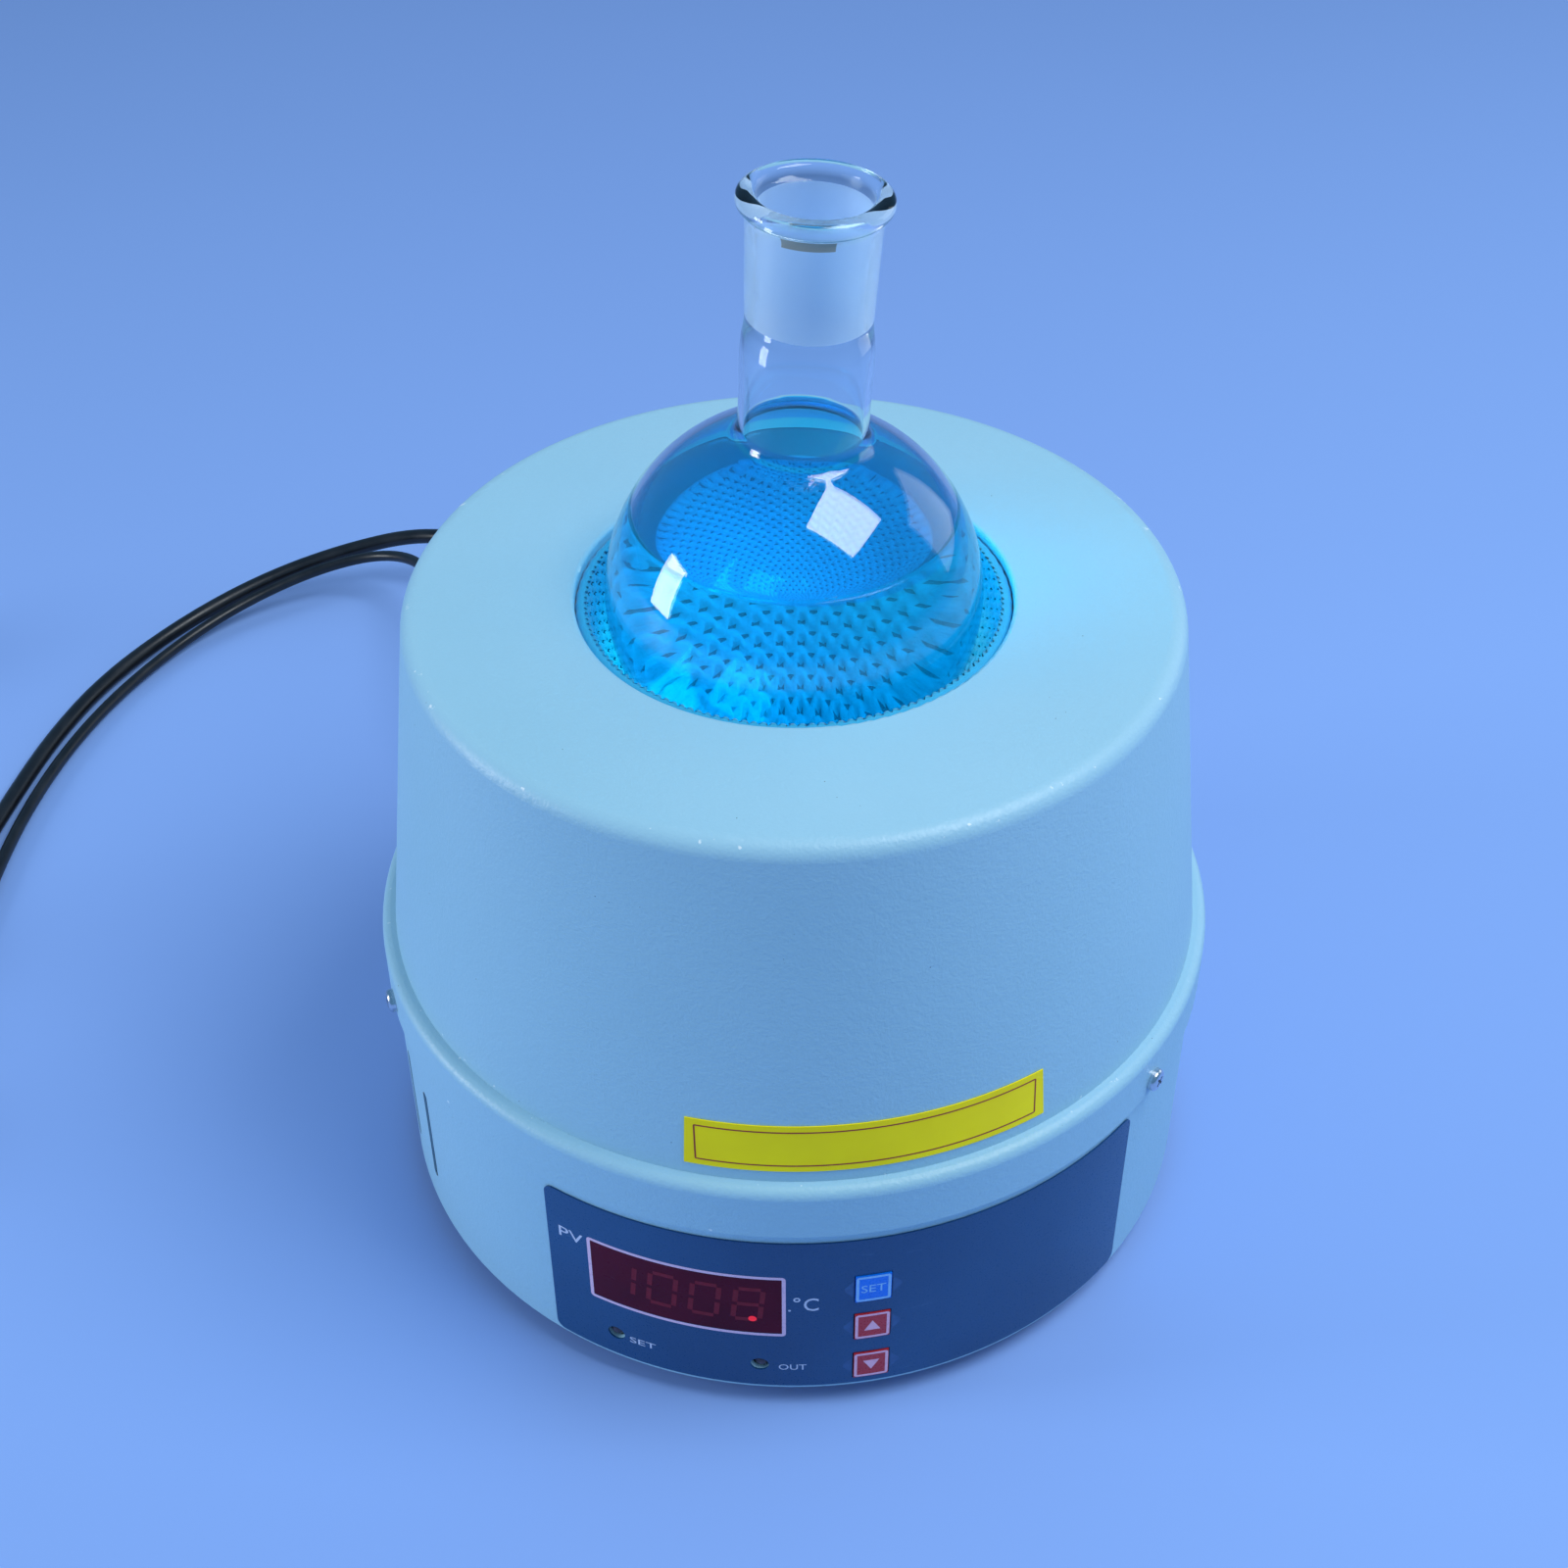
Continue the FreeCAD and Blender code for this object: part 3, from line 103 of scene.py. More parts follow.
class Paint:
    """A material whose nodes are made by short calls."""

    def __init__(self, name, colour, roughness, metallic=0.0):
        self.material = bpy.data.materials.new(name)
        self.material.use_nodes = True
        self.tree = self.material.node_tree
        self.shader = self.tree.nodes["Principled BSDF"]
        self.output = self.tree.nodes["Material Output"]
        self.place = self.tree.nodes.new("ShaderNodeTexCoord").outputs["Object"]
        self.colour(colour)
        self.rough(roughness)
        self.set("Metallic", metallic)

    def put(self, node, socket, value):
        """Set a socket, named or numbered, to a value or link it to another socket."""
        if isinstance(value, bpy.types.NodeSocket):
            self.tree.links.new(value, node.inputs[socket])
        elif node.inputs[socket].type == "RGBA":
            node.inputs[socket].default_value = (*value, 1)
        else:
            node.inputs[socket].default_value = value

    def set(self, name, value):
        self.put(self.shader, name, value)

    def colour(self, value):
        self.set("Base Color", value)

    def rough(self, value):
        self.set("Roughness", value)

    def normal(self, value):
        self.set("Normal", value)

    def specular(self, level):
        self.set("Specular IOR Level", level)

    def node(self, kind, result, settings=None, **inputs):
        """A new node's output, with its settings and its inputs by name."""
        made = self.tree.nodes.new("ShaderNode" + kind)
        for name, value in (settings or {}).items():
            setattr(made, name, value)
        for name, value in inputs.items():
            self.put(made, name.replace("_", " "), value)
        return made.outputs[result]

    def scaled(self, x=1, y=1, z=1):
        """Object coordinates stretched by a factor each way."""
        return self.node("Mapping", "Vector", Vector=self.place, Scale=(x, y, z))

    def height(self):
        """Object coordinate Z."""
        return self.node("SeparateXYZ", "Z", Vector=self.place)

    def noise(self, scale, detail=2.0, roughness=0.5, place=None):
        return self.node(
            "TexNoise", "Fac",
            Vector=place or self.place, Scale=scale, Detail=detail, Roughness=roughness,
        )

    def cells(self, scale, feature="F1"):
        return self.node(
            "TexVoronoi", "Distance", {"feature": feature}, Vector=self.place, Scale=scale)

    def waves(self, scale, direction, distortion=0.0):
        return self.node(
            "TexWave", "Fac", {"bands_direction": direction},
            Vector=self.place, Scale=scale, Distortion=distortion,
        )

    def between(self, value, low=NOISE_LOW, high=NOISE_HIGH, low_out=0.0, high_out=1.0):
        """A value's range from low to high mapped to another, and held at its ends."""
        return self.node(
            "MapRange", "Result", Value=value, From_Min=low, From_Max=high,
            To_Min=low_out, To_Max=high_out,
        )

    def maths(self, operation, first, second=0):
        made = self.tree.nodes.new("ShaderNodeMath")
        made.operation = operation
        self.put(made, 0, first)
        self.put(made, 1, second)
        return made.outputs["Value"]

    def blend(self, share, first, second):
        """Colour between first and second by a share from 0 to 1."""
        made = self.tree.nodes.new("ShaderNodeMix")
        made.data_type = "RGBA"
        for socket, value in ((0, share), (6, first), (7, second)):
            self.put(made, socket, value)
        return made.outputs[2]

    def bump(self, height, strength, distance, under=None):
        """Relief of a height, on top of another bump."""
        below = {} if under is None else {"Normal": under}
        return self.node(
            "Bump", "Normal", Height=height, Strength=strength, Distance=distance, **below)

    def mottled(self, first, second, scale, detail=2.0, low=NOISE_LOW, high=NOISE_HIGH, most=1.0):
        """Base colour that drifts from first towards second with a noise."""
        share = self.between(self.noise(scale, detail), low, high, 0, most)
        self.colour(self.blend(share, first, second))

    def grained(self, scale, smooth, dull, strength, depth, detail=2.0):
        """A fine grain, in roughness from smooth to dull and in relief."""
        grain = self.noise(scale, detail)
        self.rough(self.between(grain, low_out=smooth, high_out=dull))
        self.normal(self.bump(grain, strength, depth))

    def see_through(self, ior, shade):
        """Clear matter. Shadow rays pass through it straight, tinted with a shade."""
        self.set("Transmission Weight", 1.0)
        self.set("IOR", ior)
        passing = self.node("BsdfTransparent", "BSDF", Color=shade)
        mixer = self.tree.nodes.new("ShaderNodeMixShader")
        self.put(mixer, 0, self.node("LightPath", "Is Shadow Ray"))
        self.put(mixer, 1, self.shader.outputs[0])
        self.put(mixer, 2, passing)
        self.put(self.output, "Surface", mixer.outputs[0])


def linear(red, green, blue):
    """A display colour of 0 to 255 as linear light."""
    values = []
    for part in (red, green, blue):
        share = part / 255
        values.append(share / 12.92 if share <= 0.04045 else ((share + 0.055) / 1.055) ** 2.4)
    return tuple(values)


def dimmed(colour, factor):
    return tuple(factor * part for part in colour)


# Edges of the shells where the paint is chipped: height, and reach to each side
CHIPPED_EDGES = ((0.2018, 0.0011), (0.0966, 0.0012), (0.0785, 0.0007))


def shell_paint():
    base = linear(154, 203, 228)
    paint = Paint("powder_coat", base, 0.45)
    cloud = paint.noise(9, 3)
    tint = paint.blend(paint.between(cloud), base, linear(148, 198, 223))
    speck = paint.between(paint.cells(260), 0.035, 0.05, 1, 0)
    rare = paint.between(paint.noise(40, 1), 0.6, 0.64)
    tint = paint.blend(paint.maths("MULTIPLY", speck, rare), tint, linear(84, 104, 122))
    worn = paint.between(paint.noise(230, 3, 0.6), 0.67, 0.7)
    for edge_height, reach in CHIPPED_EDGES:
        gap = paint.maths("ABSOLUTE", paint.maths("SUBTRACT", paint.height(), edge_height))
        edge = paint.between(gap, reach * 0.5, reach, 1, 0)
        tint = paint.blend(paint.maths("MULTIPLY", edge, worn), tint, linear(214, 236, 248))
    paint.colour(tint)
    grain = paint.noise(1150, 2, 0.55)
    peel = paint.noise(480, 1)
    paint.rough(paint.between(grain, low_out=0.36, high_out=0.5))
    paint.normal(paint.bump(grain, 0.55, 0.00022, paint.bump(peel, 0.3, 0.0003)))
    return paint.material


def panel_film():
    base = linear(6, 66, 118)
    paint = Paint("panel_film", base, 0.32)
    cloud = paint.noise(14, 2)
    tint = paint.blend(paint.between(cloud, 0.35, 0.65), base, linear(14, 76, 130))
    streaks = paint.noise(60, 3, 0.6, paint.scaled(1, 1, 14))
    scratch = paint.between(streaks, 0.71, 0.75, 0, 0.35)
    paint.colour(paint.blend(scratch, tint, linear(110, 150, 200)))
    paint.grained(1900, 0.26, 0.38, 0.25, 0.00008, detail=1)
    return paint.material


def display_filter():
    base = linear(84, 12, 40)
    paint = Paint("display_filter", base, 0.3)
    paint.specular(0.08)
    paint.mottled(base, linear(70, 12, 36), 55)
    paint.rough(paint.between(paint.noise(400), low_out=0.26, high_out=0.36))
    return paint.material


def plain_plastic(name, colour, shade, roughness=0.4, grain_size=1300, depth=0.0001):
    """Moulded plastic with a fine grain, a little uneven in colour. Also the flat painted shade of
    recesses and of the gaps between yarns.
    """
    paint = Paint(name, colour, roughness)
    paint.mottled(colour, shade, 35)
    paint.grained(grain_size, roughness * 0.85, roughness * 1.2, 0.3, depth)
    return paint.material


def brushed_metal(name, colour, roughness, scale):
    paint = Paint(name, colour, roughness, 1.0)
    lines = paint.noise(scale, 3, 0.6, paint.scaled(1, 9, 1))
    paint.mottled(colour, dimmed(colour, 0.82), 70)
    paint.rough(paint.between(lines, low_out=roughness * 0.75, high_out=roughness * 1.35))
    paint.normal(paint.bump(lines, 0.12, 0.00008))
    return paint.material


def clear_glass():
    paint = Paint("clear_glass", (0.93, 0.975, 0.985), 0.0)
    paint.see_through(GLASS_IOR, (0.97, 0.99, 1.0))
    paint.rough(paint.between(paint.noise(28), 0.55, 0.75, 0.0, 0.03))
    return paint.material


def painted_reflection_glass():
    """The bulb's inside above the level, tinted blue: a painted reflection of the blue liquid
    below.
    """
    paint = Paint("painted_reflection_glass", (0.0, 0.60, 0.99), 0.0)
    paint.see_through(GLASS_IOR, (0.45, 0.9, 1.0))
    paint.mottled((0.0, 0.54, 0.98), (0.02, 0.66, 1.0), 26, 3, 0.35, 0.65)
    return paint.material


def ground_glass():
    """Frosted glass: part of the light scatters at its surface."""
    paint = Paint("ground_glass", (0.5, 0.72, 0.95), 0.55)
    paint.see_through(GLASS_IOR, (0.9, 0.95, 1.0))
    paint.grained(2600, 0.45, 0.65, 0.4, 0.00006)
    paint.set("Transmission Weight", 0.62)
    return paint.material


def blue_liquid():
    paint = Paint("blue_liquid", (0.0, 0.66, 1.0), 0.0)
    paint.see_through(LIQUID_IOR, (0.1, 0.88, 1.0))
    paint.set("Transmission Weight", 0.86)
    paint.mottled((0.0, 0.61, 0.99), (0.0, 0.70, 1.0), 22)
    return paint.material


def woven_fibre():
    """Glass yarn. Its cyan towards the rim is painted light: the blue light that comes through the
    liquid onto the yarn.
    """
    base = linear(160, 220, 236)
    paint = Paint("woven_fibre", base, 0.62)
    strands = paint.noise(2300, 2, 0.6)
    patch = paint.noise(60)
    tint = paint.blend(paint.between(strands), linear(120, 188, 212), base)
    tint = paint.blend(paint.between(patch, 0.55, 0.8, 0, 0.35), tint, linear(96, 160, 188))
    # Painted light: cyan towards the rim, for the blue light that comes through the liquid
    rim = paint.between(paint.height(), 0.184, 0.193)
    paint.colour(paint.blend(rim, tint, linear(34, 168, 214)))
    paint.set("Sheen Weight", 0.25)
    paint.normal(paint.bump(strands, 0.6, 0.0002))
    return paint.material


def wool():
    base = linear(226, 220, 196)
    paint = Paint("wool", base, 0.95)
    fibres = paint.noise(420, 4, 0.7, paint.scaled(1, 1, 3))
    paint.colour(paint.blend(paint.between(fibres), linear(196, 188, 160), base))
    paint.normal(paint.bump(fibres, 0.9, 0.0012))
    return paint.material


def key_colour(name, low, high):
    paint = Paint(name, low, 0.3)
    paint.mottled(low, high, 160)
    paint.grained(1500, 0.24, 0.36, 0.25, 0.00006, detail=1)
    return paint.material


def strip_yellow():
    base = linear(255, 240, 0)
    paint = Paint("strip_yellow", base, 0.42)
    paint.specular(0.2)
    paint.mottled(base, linear(246, 228, 2), 45, 3)
    paint.grained(900, 0.32, 0.45, 0.25, 0.0001)
    return paint.material


def rubber(name, colour, roughness):
    paint = Paint(name, colour, roughness)
    dust = paint.noise(90, 4, 0.65)
    dusty = tuple(min(1, part * 2.6 + 0.01) for part in colour)
    paint.colour(paint.blend(paint.between(dust, 0.45, 0.8, 0, 0.3), colour, dusty))
    paint.grained(1600, roughness * 0.85, min(1, roughness * 1.2), 0.4, 0.00012)
    return paint.material


def cable_black():
    base = linear(18, 20, 24)
    paint = Paint("cable_black", base, 0.34)
    smear = paint.noise(120, 3)
    paint.colour(paint.blend(paint.between(smear, 0.4, 0.8, 0, 0.5), base, linear(34, 38, 44)))
    paint.rough(paint.between(smear, low_out=0.28, high_out=0.42))
    paint.normal(paint.bump(paint.noise(700), 0.2, 0.0001))
    return paint.material


def circuit_green():
    base = linear(22, 84, 52)
    paint = Paint("circuit_green", base, 0.35)
    traces = paint.cells(330, "DISTANCE_TO_EDGE")
    paint.colour(paint.blend(paint.between(traces, 0.03, 0.08, 1, 0), base, linear(52, 124, 74)))
    paint.normal(paint.bump(traces, 0.15, 0.0001))
    return paint.material


def iron_core():
    base = linear(84, 86, 92)
    paint = Paint("iron_core", base, 0.45, 0.8)
    sheets = paint.waves(1000, "Y")
    paint.colour(paint.blend(sheets, linear(58, 60, 66), base))
    paint.normal(paint.bump(sheets, 0.5, 0.0003))
    return paint.material


def winding_tape():
    base = linear(206, 164, 58)
    paint = Paint("winding_tape", base, 0.38)
    laps = paint.waves(90, "Z", 0.6)
    paint.colour(paint.blend(laps, linear(184, 140, 44), base))
    paint.normal(paint.bump(laps, 0.3, 0.0004))
    return paint.material


def ceramic():
    base = linear(232, 232, 226)
    paint = Paint("ceramic", base, 0.28)
    paint.mottled(base, linear(216, 215, 206), 80, 3, 0.4)
    paint.normal(paint.bump(paint.noise(600), 0.15, 0.0001))
    return paint.material


def ink(name, base, worn, scale, low, high, most=1.0, roughness=0.4):
    """Printed colour, worn in fine patches. Also the lighter ears beside the keys, which are
    painted light.
    """
    paint = Paint(name, base, roughness)
    paint.mottled(base, worn, scale, 3, low, high, most)
    return paint.material


def pale_ink(name, base, worn):
    return ink(name, base, worn, 900, 0.55, 0.75, 0.4)


def lit_red(name, colour, strength, glow):
    paint = Paint(name, colour, 0.4)
    paint.mottled(colour, dimmed(colour, 0.8), 500)
    paint.specular(0.2)
    paint.set("Emission Color", glow)
    paint.set("Emission Strength", strength)
    return paint.material


MATERIALS = {
    "shell_paint": shell_paint(),
    "plate_metal": brushed_metal("plate_metal", (0.55, 0.58, 0.6), 0.38, 260),
    "pan_metal": brushed_metal("pan_metal", (0.62, 0.64, 0.66), 0.3, 180),
    "screw_steel": brushed_metal("screw_steel", (0.72, 0.76, 0.8), 0.2, 900),
    "foot_rubber": rubber("foot_rubber", linear(30, 31, 33), 0.7),
    "woven_fibre": woven_fibre(),
    "wool": wool(),
    "clear_glass": clear_glass(),
    "blue_liquid": blue_liquid(),
    "panel_film": panel_film(),
    "display_red": display_filter(),
    "module_black": plain_plastic("module_black", linear(26, 26, 28), linear(34, 34, 37)),
    "board_green": circuit_green(),
    "lamp_dark": plain_plastic(
        "lamp_dark", linear(52, 50, 66), linear(66, 58, 74), 0.16, 600, 0.00003),
    "key_blue": key_colour("key_blue", linear(0, 113, 240), linear(6, 124, 250)),
    "key_red": key_colour("key_red", linear(174, 34, 46), linear(188, 42, 52)),
    "switch_black": plain_plastic("switch_black", linear(22, 22, 24), linear(32, 32, 34), 0.34),
    "strip_yellow": strip_yellow(),
    "black_plastic": plain_plastic(
        "black_plastic", linear(24, 25, 27), linear(36, 37, 40), 0.42, 900),
    "iron_core": iron_core(),
    "winding_tape": winding_tape(),
    "white_ceramic": ceramic(),
    "cable_black": cable_black(),
    "probe_steel": brushed_metal("probe_steel", (0.66, 0.68, 0.7), 0.24, 700),
    "ground_glass": ground_glass(),
    # Painted reflection of the blue liquid on the bulb's inside above the level
    "painted_reflection_glass": painted_reflection_glass(),
    # Painted shade between the yarns of the knitted bowl
    "painted_gap_shade": plain_plastic("painted_gap_shade", linear(14, 52, 84), linear(22, 70, 104), 0.8),
    # Painted shade for the screws' cross recesses, the fuse cap's slot and the vent edges
    "recess_dark": plain_plastic("recess_dark", linear(34, 42, 52), linear(22, 28, 36), 0.5),
    "enamel_spot": plain_plastic("enamel_spot", linear(158, 166, 158), linear(138, 146, 140), 0.6),
    "print_white": pale_ink("print_white", linear(196, 212, 240), linear(120, 150, 196)),
    "print_lilac": pale_ink("print_lilac", linear(224, 196, 228), linear(170, 150, 196)),
    "print_pink": pale_ink("print_pink", linear(238, 188, 216), linear(186, 140, 176)),
    "print_sky": pale_ink("print_sky", linear(137, 199, 255), linear(70, 150, 240)),
    # Painted light on the film where it bulges beside each key
    "print_faint": ink(
        "print_faint", linear(44, 92, 150), linear(34, 78, 134), 700, 0.4, 0.7),
    "print_red": ink(
        "print_red", linear(150, 22, 16), linear(176, 60, 20), 800, 0.5, 0.8, roughness=0.42),
    "digit_red": lit_red("digit_red", linear(112, 14, 38), 0.02, (0.5, 0.02, 0.04)),
    "dot_red": lit_red("dot_red", linear(206, 24, 44), 0.5, (1.0, 0.03, 0.06)),
}

# Every CAD node takes its slot's material
for entry in frame["record"]["subparts"]:
    node_mesh = NODES[entry["node"]].data
    node_mesh.materials.clear()
    node_mesh.materials.append(MATERIALS[entry["material_slot"]])

# Meshes


def in_scene(name, data):
    obj = bpy.data.objects.new(name, data)
    bpy.context.scene.collection.objects.link(obj)
    return obj


def add_piece(name, data, material, body="mantle"):
    """A piece that rides on a body, with one material or a list of them."""
    obj = in_scene(name, data)
    for entry in [material] if isinstance(material, str) else material:
        obj.data.materials.append(MATERIALS[entry])
    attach(obj, body)
    return obj


def mesh_piece(name, points, faces, material, body="mantle", smooth=True):
    """A mesh piece from points in millimetres."""
    mesh = bpy.data.meshes.new(name)
    mesh.from_pydata([tuple(point) for point in metres(points)], [], faces)
    mesh.polygons.foreach_set("use_smooth", [smooth] * len(mesh.polygons))
    mesh.update()
    return add_piece(name, mesh, material, body)


AXIS_RADIUS = 1e-6


def lathe(outline, steps):
    """Points and faces of an outline of (radius, height) turned about Z."""
    points = []
    faces = []
    rings = []
    for radius, height in outline:
        if radius < AXIS_RADIUS:
            rings.append([len(points)])
            points.append(Vector((0, 0, height)))
            continue
        rings.append([len(points) + number for number in range(steps)])
        for number in range(steps):
            points.append(polar(360 * number / steps, radius, height))
    for low, high in zip(rings, rings[1:]):
        for number in range(steps):
            after = (number + 1) % steps
            corners = [low[number % len(low)], low[after % len(low)]]
            corners += [high[after % len(high)], high[number % len(high)]]
            faces.append(tuple(dict.fromkeys(corners)))
    return points, faces


def arc(centre, radius, start, finish, count):
    """Points of an arc in (radius, height), angles in degrees from the radial direction."""
    made = []
    for number in range(count + 1):
        angle = math.radians(start + (finish - start) * number / count)
        made.append((centre[0] + radius * math.cos(angle), centre[1] + radius * math.sin(angle)))
    return made


def put_in_well(piece, lean=Matrix()):
    """Move a mesh made round the bulb's centre to its place, leaning."""
    piece.data.transform(Matrix.Translation((0, 0, BULB_HEIGHT * MM)) @ lean)


# Free leads: they repeat the CAD's route points and wind the hidden length into a coil

MAINS_ROUTE = [
    (-55.5, 217, 39.5), (-67, 257, 35.5), (-85, 292, 31),
    (-114, 314.5, 25), (-148, 316, 18.5), (-183, 309, 11.5), (-216.5, 291, 5.2),
    (-246, 258.5, 3.4), (-264, 222, 3.3), (-277, 182, 3.3), (-286.6, 148, 3.3),
    (-290.8, 112, 3.3),
]
SENSOR_ROUTE = [
    (-104, 216, 39.5), (-108.5, 250, 36), (-114, 284, 30.5),
    (-132, 304.5, 23), (-160, 307, 16), (-190, 298, 9), (-216, 280, 4.2),
    (-240, 250, 2.6), (-257, 217, 2.5), (-269.5, 180, 2.5), (-277, 143, 2.5),
    (-281.5, 106, 2.5), (-283.6, 73, 2.5), (-283.2, 44, 2.5), (-284.1, 20, 2.5),
]
MAINS_TAIL = [
    (-379.5, 112, 9.7), (-380.6, 134, 7), (-380.2, 158, 6), (-380, 183, 13.2),
    (-380, 205, 18.5), (-380, 226, 18.5),
]
SENSOR_TAIL = [
    (-315, -15, 6.8), (-328, -16, 4.6), (-339.5, -20.5, 2.8), (-346, -31, 2.5),
    (-346, -43, 2.5),
]
GLAND_TIP = 156
CONNECTOR_TIP = 164
FIRST_RUN = 40
TURN_POINTS = 16
MAINS_DIAMETER = 6.2
SENSOR_DIAMETER = 4.5
MAINS_COIL = (-335.2, 110)
SENSOR_COIL = (-317.2, 18)


def coil_turns(centre, entry, low, high, inward, climb, outward, leave):
    """Control points of a coil wound clockwise from its right side.

    A layer on the floor winds inwards, climbs by a diameter and winds outwards on top.
    entry and leave are radii, low and high the layers' heights, the rest are turns.
    """
    pitch = high - low
    inner = entry - pitch * inward
    total = inward + climb + outward
    made = []
    for step in range(1, round(total * TURN_POINTS)):
        turn = step / TURN_POINTS
        if turn <= inward:
            radius = entry - pitch * turn
            height = low
        elif turn <= inward + climb:
            share = (turn - inward) / climb
            radius = inner
            height = low + pitch * share * share * (3 - 2 * share)
        else:
            share = (turn - inward - climb) / outward
            radius = inner + (leave - inner) * share
            height = high
        angle = -2 * math.pi * turn
        made.append(
            (centre[0] + radius * math.cos(angle), centre[1] + radius * math.sin(angle), height)
        )
    return made


def lead(name, points, diameter, nodes):
    """A free lead: one NURBS spline with these control points."""
    curve = bpy.data.curves.new(name, "CURVE")
    curve.dimensions = "3D"
    curve.bevel_depth = diameter / 2 * MM
    curve.bevel_resolution = 4
    curve.use_fill_caps = True
    spline = curve.splines.new("NURBS")
    spline.points.add(len(points) - 1)
    for knot, place in zip(spline.points, metres(points)):
        knot.co = (*place, 1)
    spline.order_u = 3
    spline.use_endpoint_u = True
    spline.resolution_u = 8
    spline.use_smooth = True
    made = add_piece(name, curve, "cable_black")
    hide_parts(*nodes)


def first_run(azimuth, tip):
    """Two points straight out of a fitting at the back."""
    return [polar(azimuth, reach, REAR_HEIGHT) for reach in (tip, tip + FIRST_RUN)]


mains_points = first_run(GLAND_AZIMUTH, GLAND_TIP)
mains_points += MAINS_ROUTE
mains_points += coil_turns(
    MAINS_COIL, entry=44.4, low=3.3, high=9.7, inward=2.0, climb=0.3, outward=1.2, leave=44)
mains_points += MAINS_TAIL
lead(
    "mains_lead", mains_points, MAINS_DIAMETER,
    ["mains_cord", "mains_coil", "mains_tail"],
)
sensor_points = first_run(SOCKET_AZIMUTH, CONNECTOR_TIP)
sensor_points += SENSOR_ROUTE
sensor_points += coil_turns(
    SENSOR_COIL, entry=33.2, low=2.5, high=7.1, inward=1.3, climb=0.25, outward=0.7, leave=33)
sensor_points += SENSOR_TAIL
lead(
    "sensor_lead", sensor_points, SENSOR_DIAMETER,
    ["sensor_cord", "sensor_coil", "sensor_tail"],
)

# Flask: bulb, clear neck and ground socket, leaning a little in the well

BULB = 52.5
GLASS = 1.8
NECK = 17.4
NECK_BORE = 15.8
SHOULDER_ROUND = 5
GROUND_LOW = 84
GROUND_HIGH = 114.5
# Heights between which the bulb's inside takes the painted reflection of the liquid
REFLECTION_LOW = 26
REFLECTION_HIGH = 56
BULB_STEPS = 64
FILLET_STEPS = 10
TURN_STEPS = 128
flask_lean = Matrix.Rotation(math.radians(2.6), 4, Vector((0.1461, 0.9893, 0)))
# How far the wall stands out from the neck's radius and its bore's, by height
NECK_OUTSIDE = [
    (0, 64), (0.25, 70), (0.2, 75), (-0.15, 79), (-0.6, 82), (-0.8, 84.2), (-0.7, 87),
    (-0.45, 95), (-0.2, 105), (0.1, 112), (0.6, 113.6), (1.6, 114.5), (2.3, 115.4),
    (2.6, 116.5), (2.4, 117.6), (1.8, 118.4), (0.9, 118.9), (-0.2, 119), (-1.4, 118.9),
    (-2.2, 118.4),
]
NECK_INSIDE = [
    (0, 64), (0.1, 70), (0, 75), (-0.6, 79), (-1.8, 82), (-2.5, GROUND_LOW), (-2.0, 94),
    (-1.55, 104), (-1.1, GROUND_HIGH), (-0.95, 117.4),
]
GROUND_SLOT, REFLECTION_SLOT = 1, 2  # in the flask's list of materials


def shoulder(bulb, neck, fillet):
    """Arc of a bulb from its lowest point up to the neck, with the round into the neck."""
    sweep = bulb + fillet
    reach = neck + fillet
    turn = math.degrees(math.acos(reach / sweep))
    height = sweep * math.sin(math.radians(turn))
    made = arc((0, 0), bulb, -90, turn, BULB_STEPS)
    made[0] = (0, -bulb)
    made += arc((reach, height), fillet, 180 + turn, 180, FILLET_STEPS)[1:]
    return made


outer = shoulder(BULB, NECK, SHOULDER_ROUND)
outer += [(NECK + out, height) for out, height in NECK_OUTSIDE]
inner = shoulder(BULB - GLASS, NECK_BORE, SHOULDER_ROUND + GLASS)
inner += [(NECK_BORE + out, height) for out, height in NECK_INSIDE]
flask_points, flask_faces = lathe(outer + inner[::-1], TURN_STEPS)
flask_mesh = mesh_piece(
    "glass_flask", flask_points, flask_faces, ["clear_glass", "ground_glass", "painted_reflection_glass"])
for face in flask_mesh.data.polygons:
    height = face.center.z / MM
    reach = math.hypot(face.center.x, face.center.y) / MM
    if GROUND_LOW < height < GROUND_HIGH and reach < NECK_BORE:
        face.material_index = GROUND_SLOT
    # Faces inside the bulb just above the level take the painted reflection of the liquid
    inside = math.hypot(reach, height) < BULB - GLASS / 2 or reach < NECK - GLASS / 2
    if inside and REFLECTION_LOW < height < REFLECTION_HIGH:
        face.material_index = REFLECTION_SLOT
put_in_well(flask_mesh, flask_lean)
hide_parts("flask")

# Liquid: fills the bulb to its level and reaches a little into the glass

LIQUID_LEVEL = 27
LIQUID_REACH = 0.25
LIQUID_STEPS = 72
# Inward from the edge, and down from the level there
MENISCUS = [(0.7, -0.9), (1.6, -1.5), (3.2, -1.9), (6, -2.1)]
MIDDLE_DROP = 2.15
liquid_radius = BULB - GLASS + LIQUID_REACH
level_turn = math.degrees(math.asin(LIQUID_LEVEL / liquid_radius))
liquid_edge = liquid_radius * math.cos(math.radians(level_turn))
liquid_outline = arc((0, 0), liquid_radius, -90, level_turn, LIQUID_STEPS)
liquid_outline[0] = (0, -liquid_radius)
for inward, drop in MENISCUS:
    liquid_outline.append((liquid_edge - inward, LIQUID_LEVEL + drop))
liquid_outline.append((0, LIQUID_LEVEL - MIDDLE_DROP))
liquid_points, liquid_faces = lathe(liquid_outline, TURN_STEPS)
liquid = mesh_piece("liquid", liquid_points, liquid_faces, "blue_liquid")
put_in_well(liquid)
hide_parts("flask_liquid")

# Heating bowl: knitted glass yarn with a rolled edge

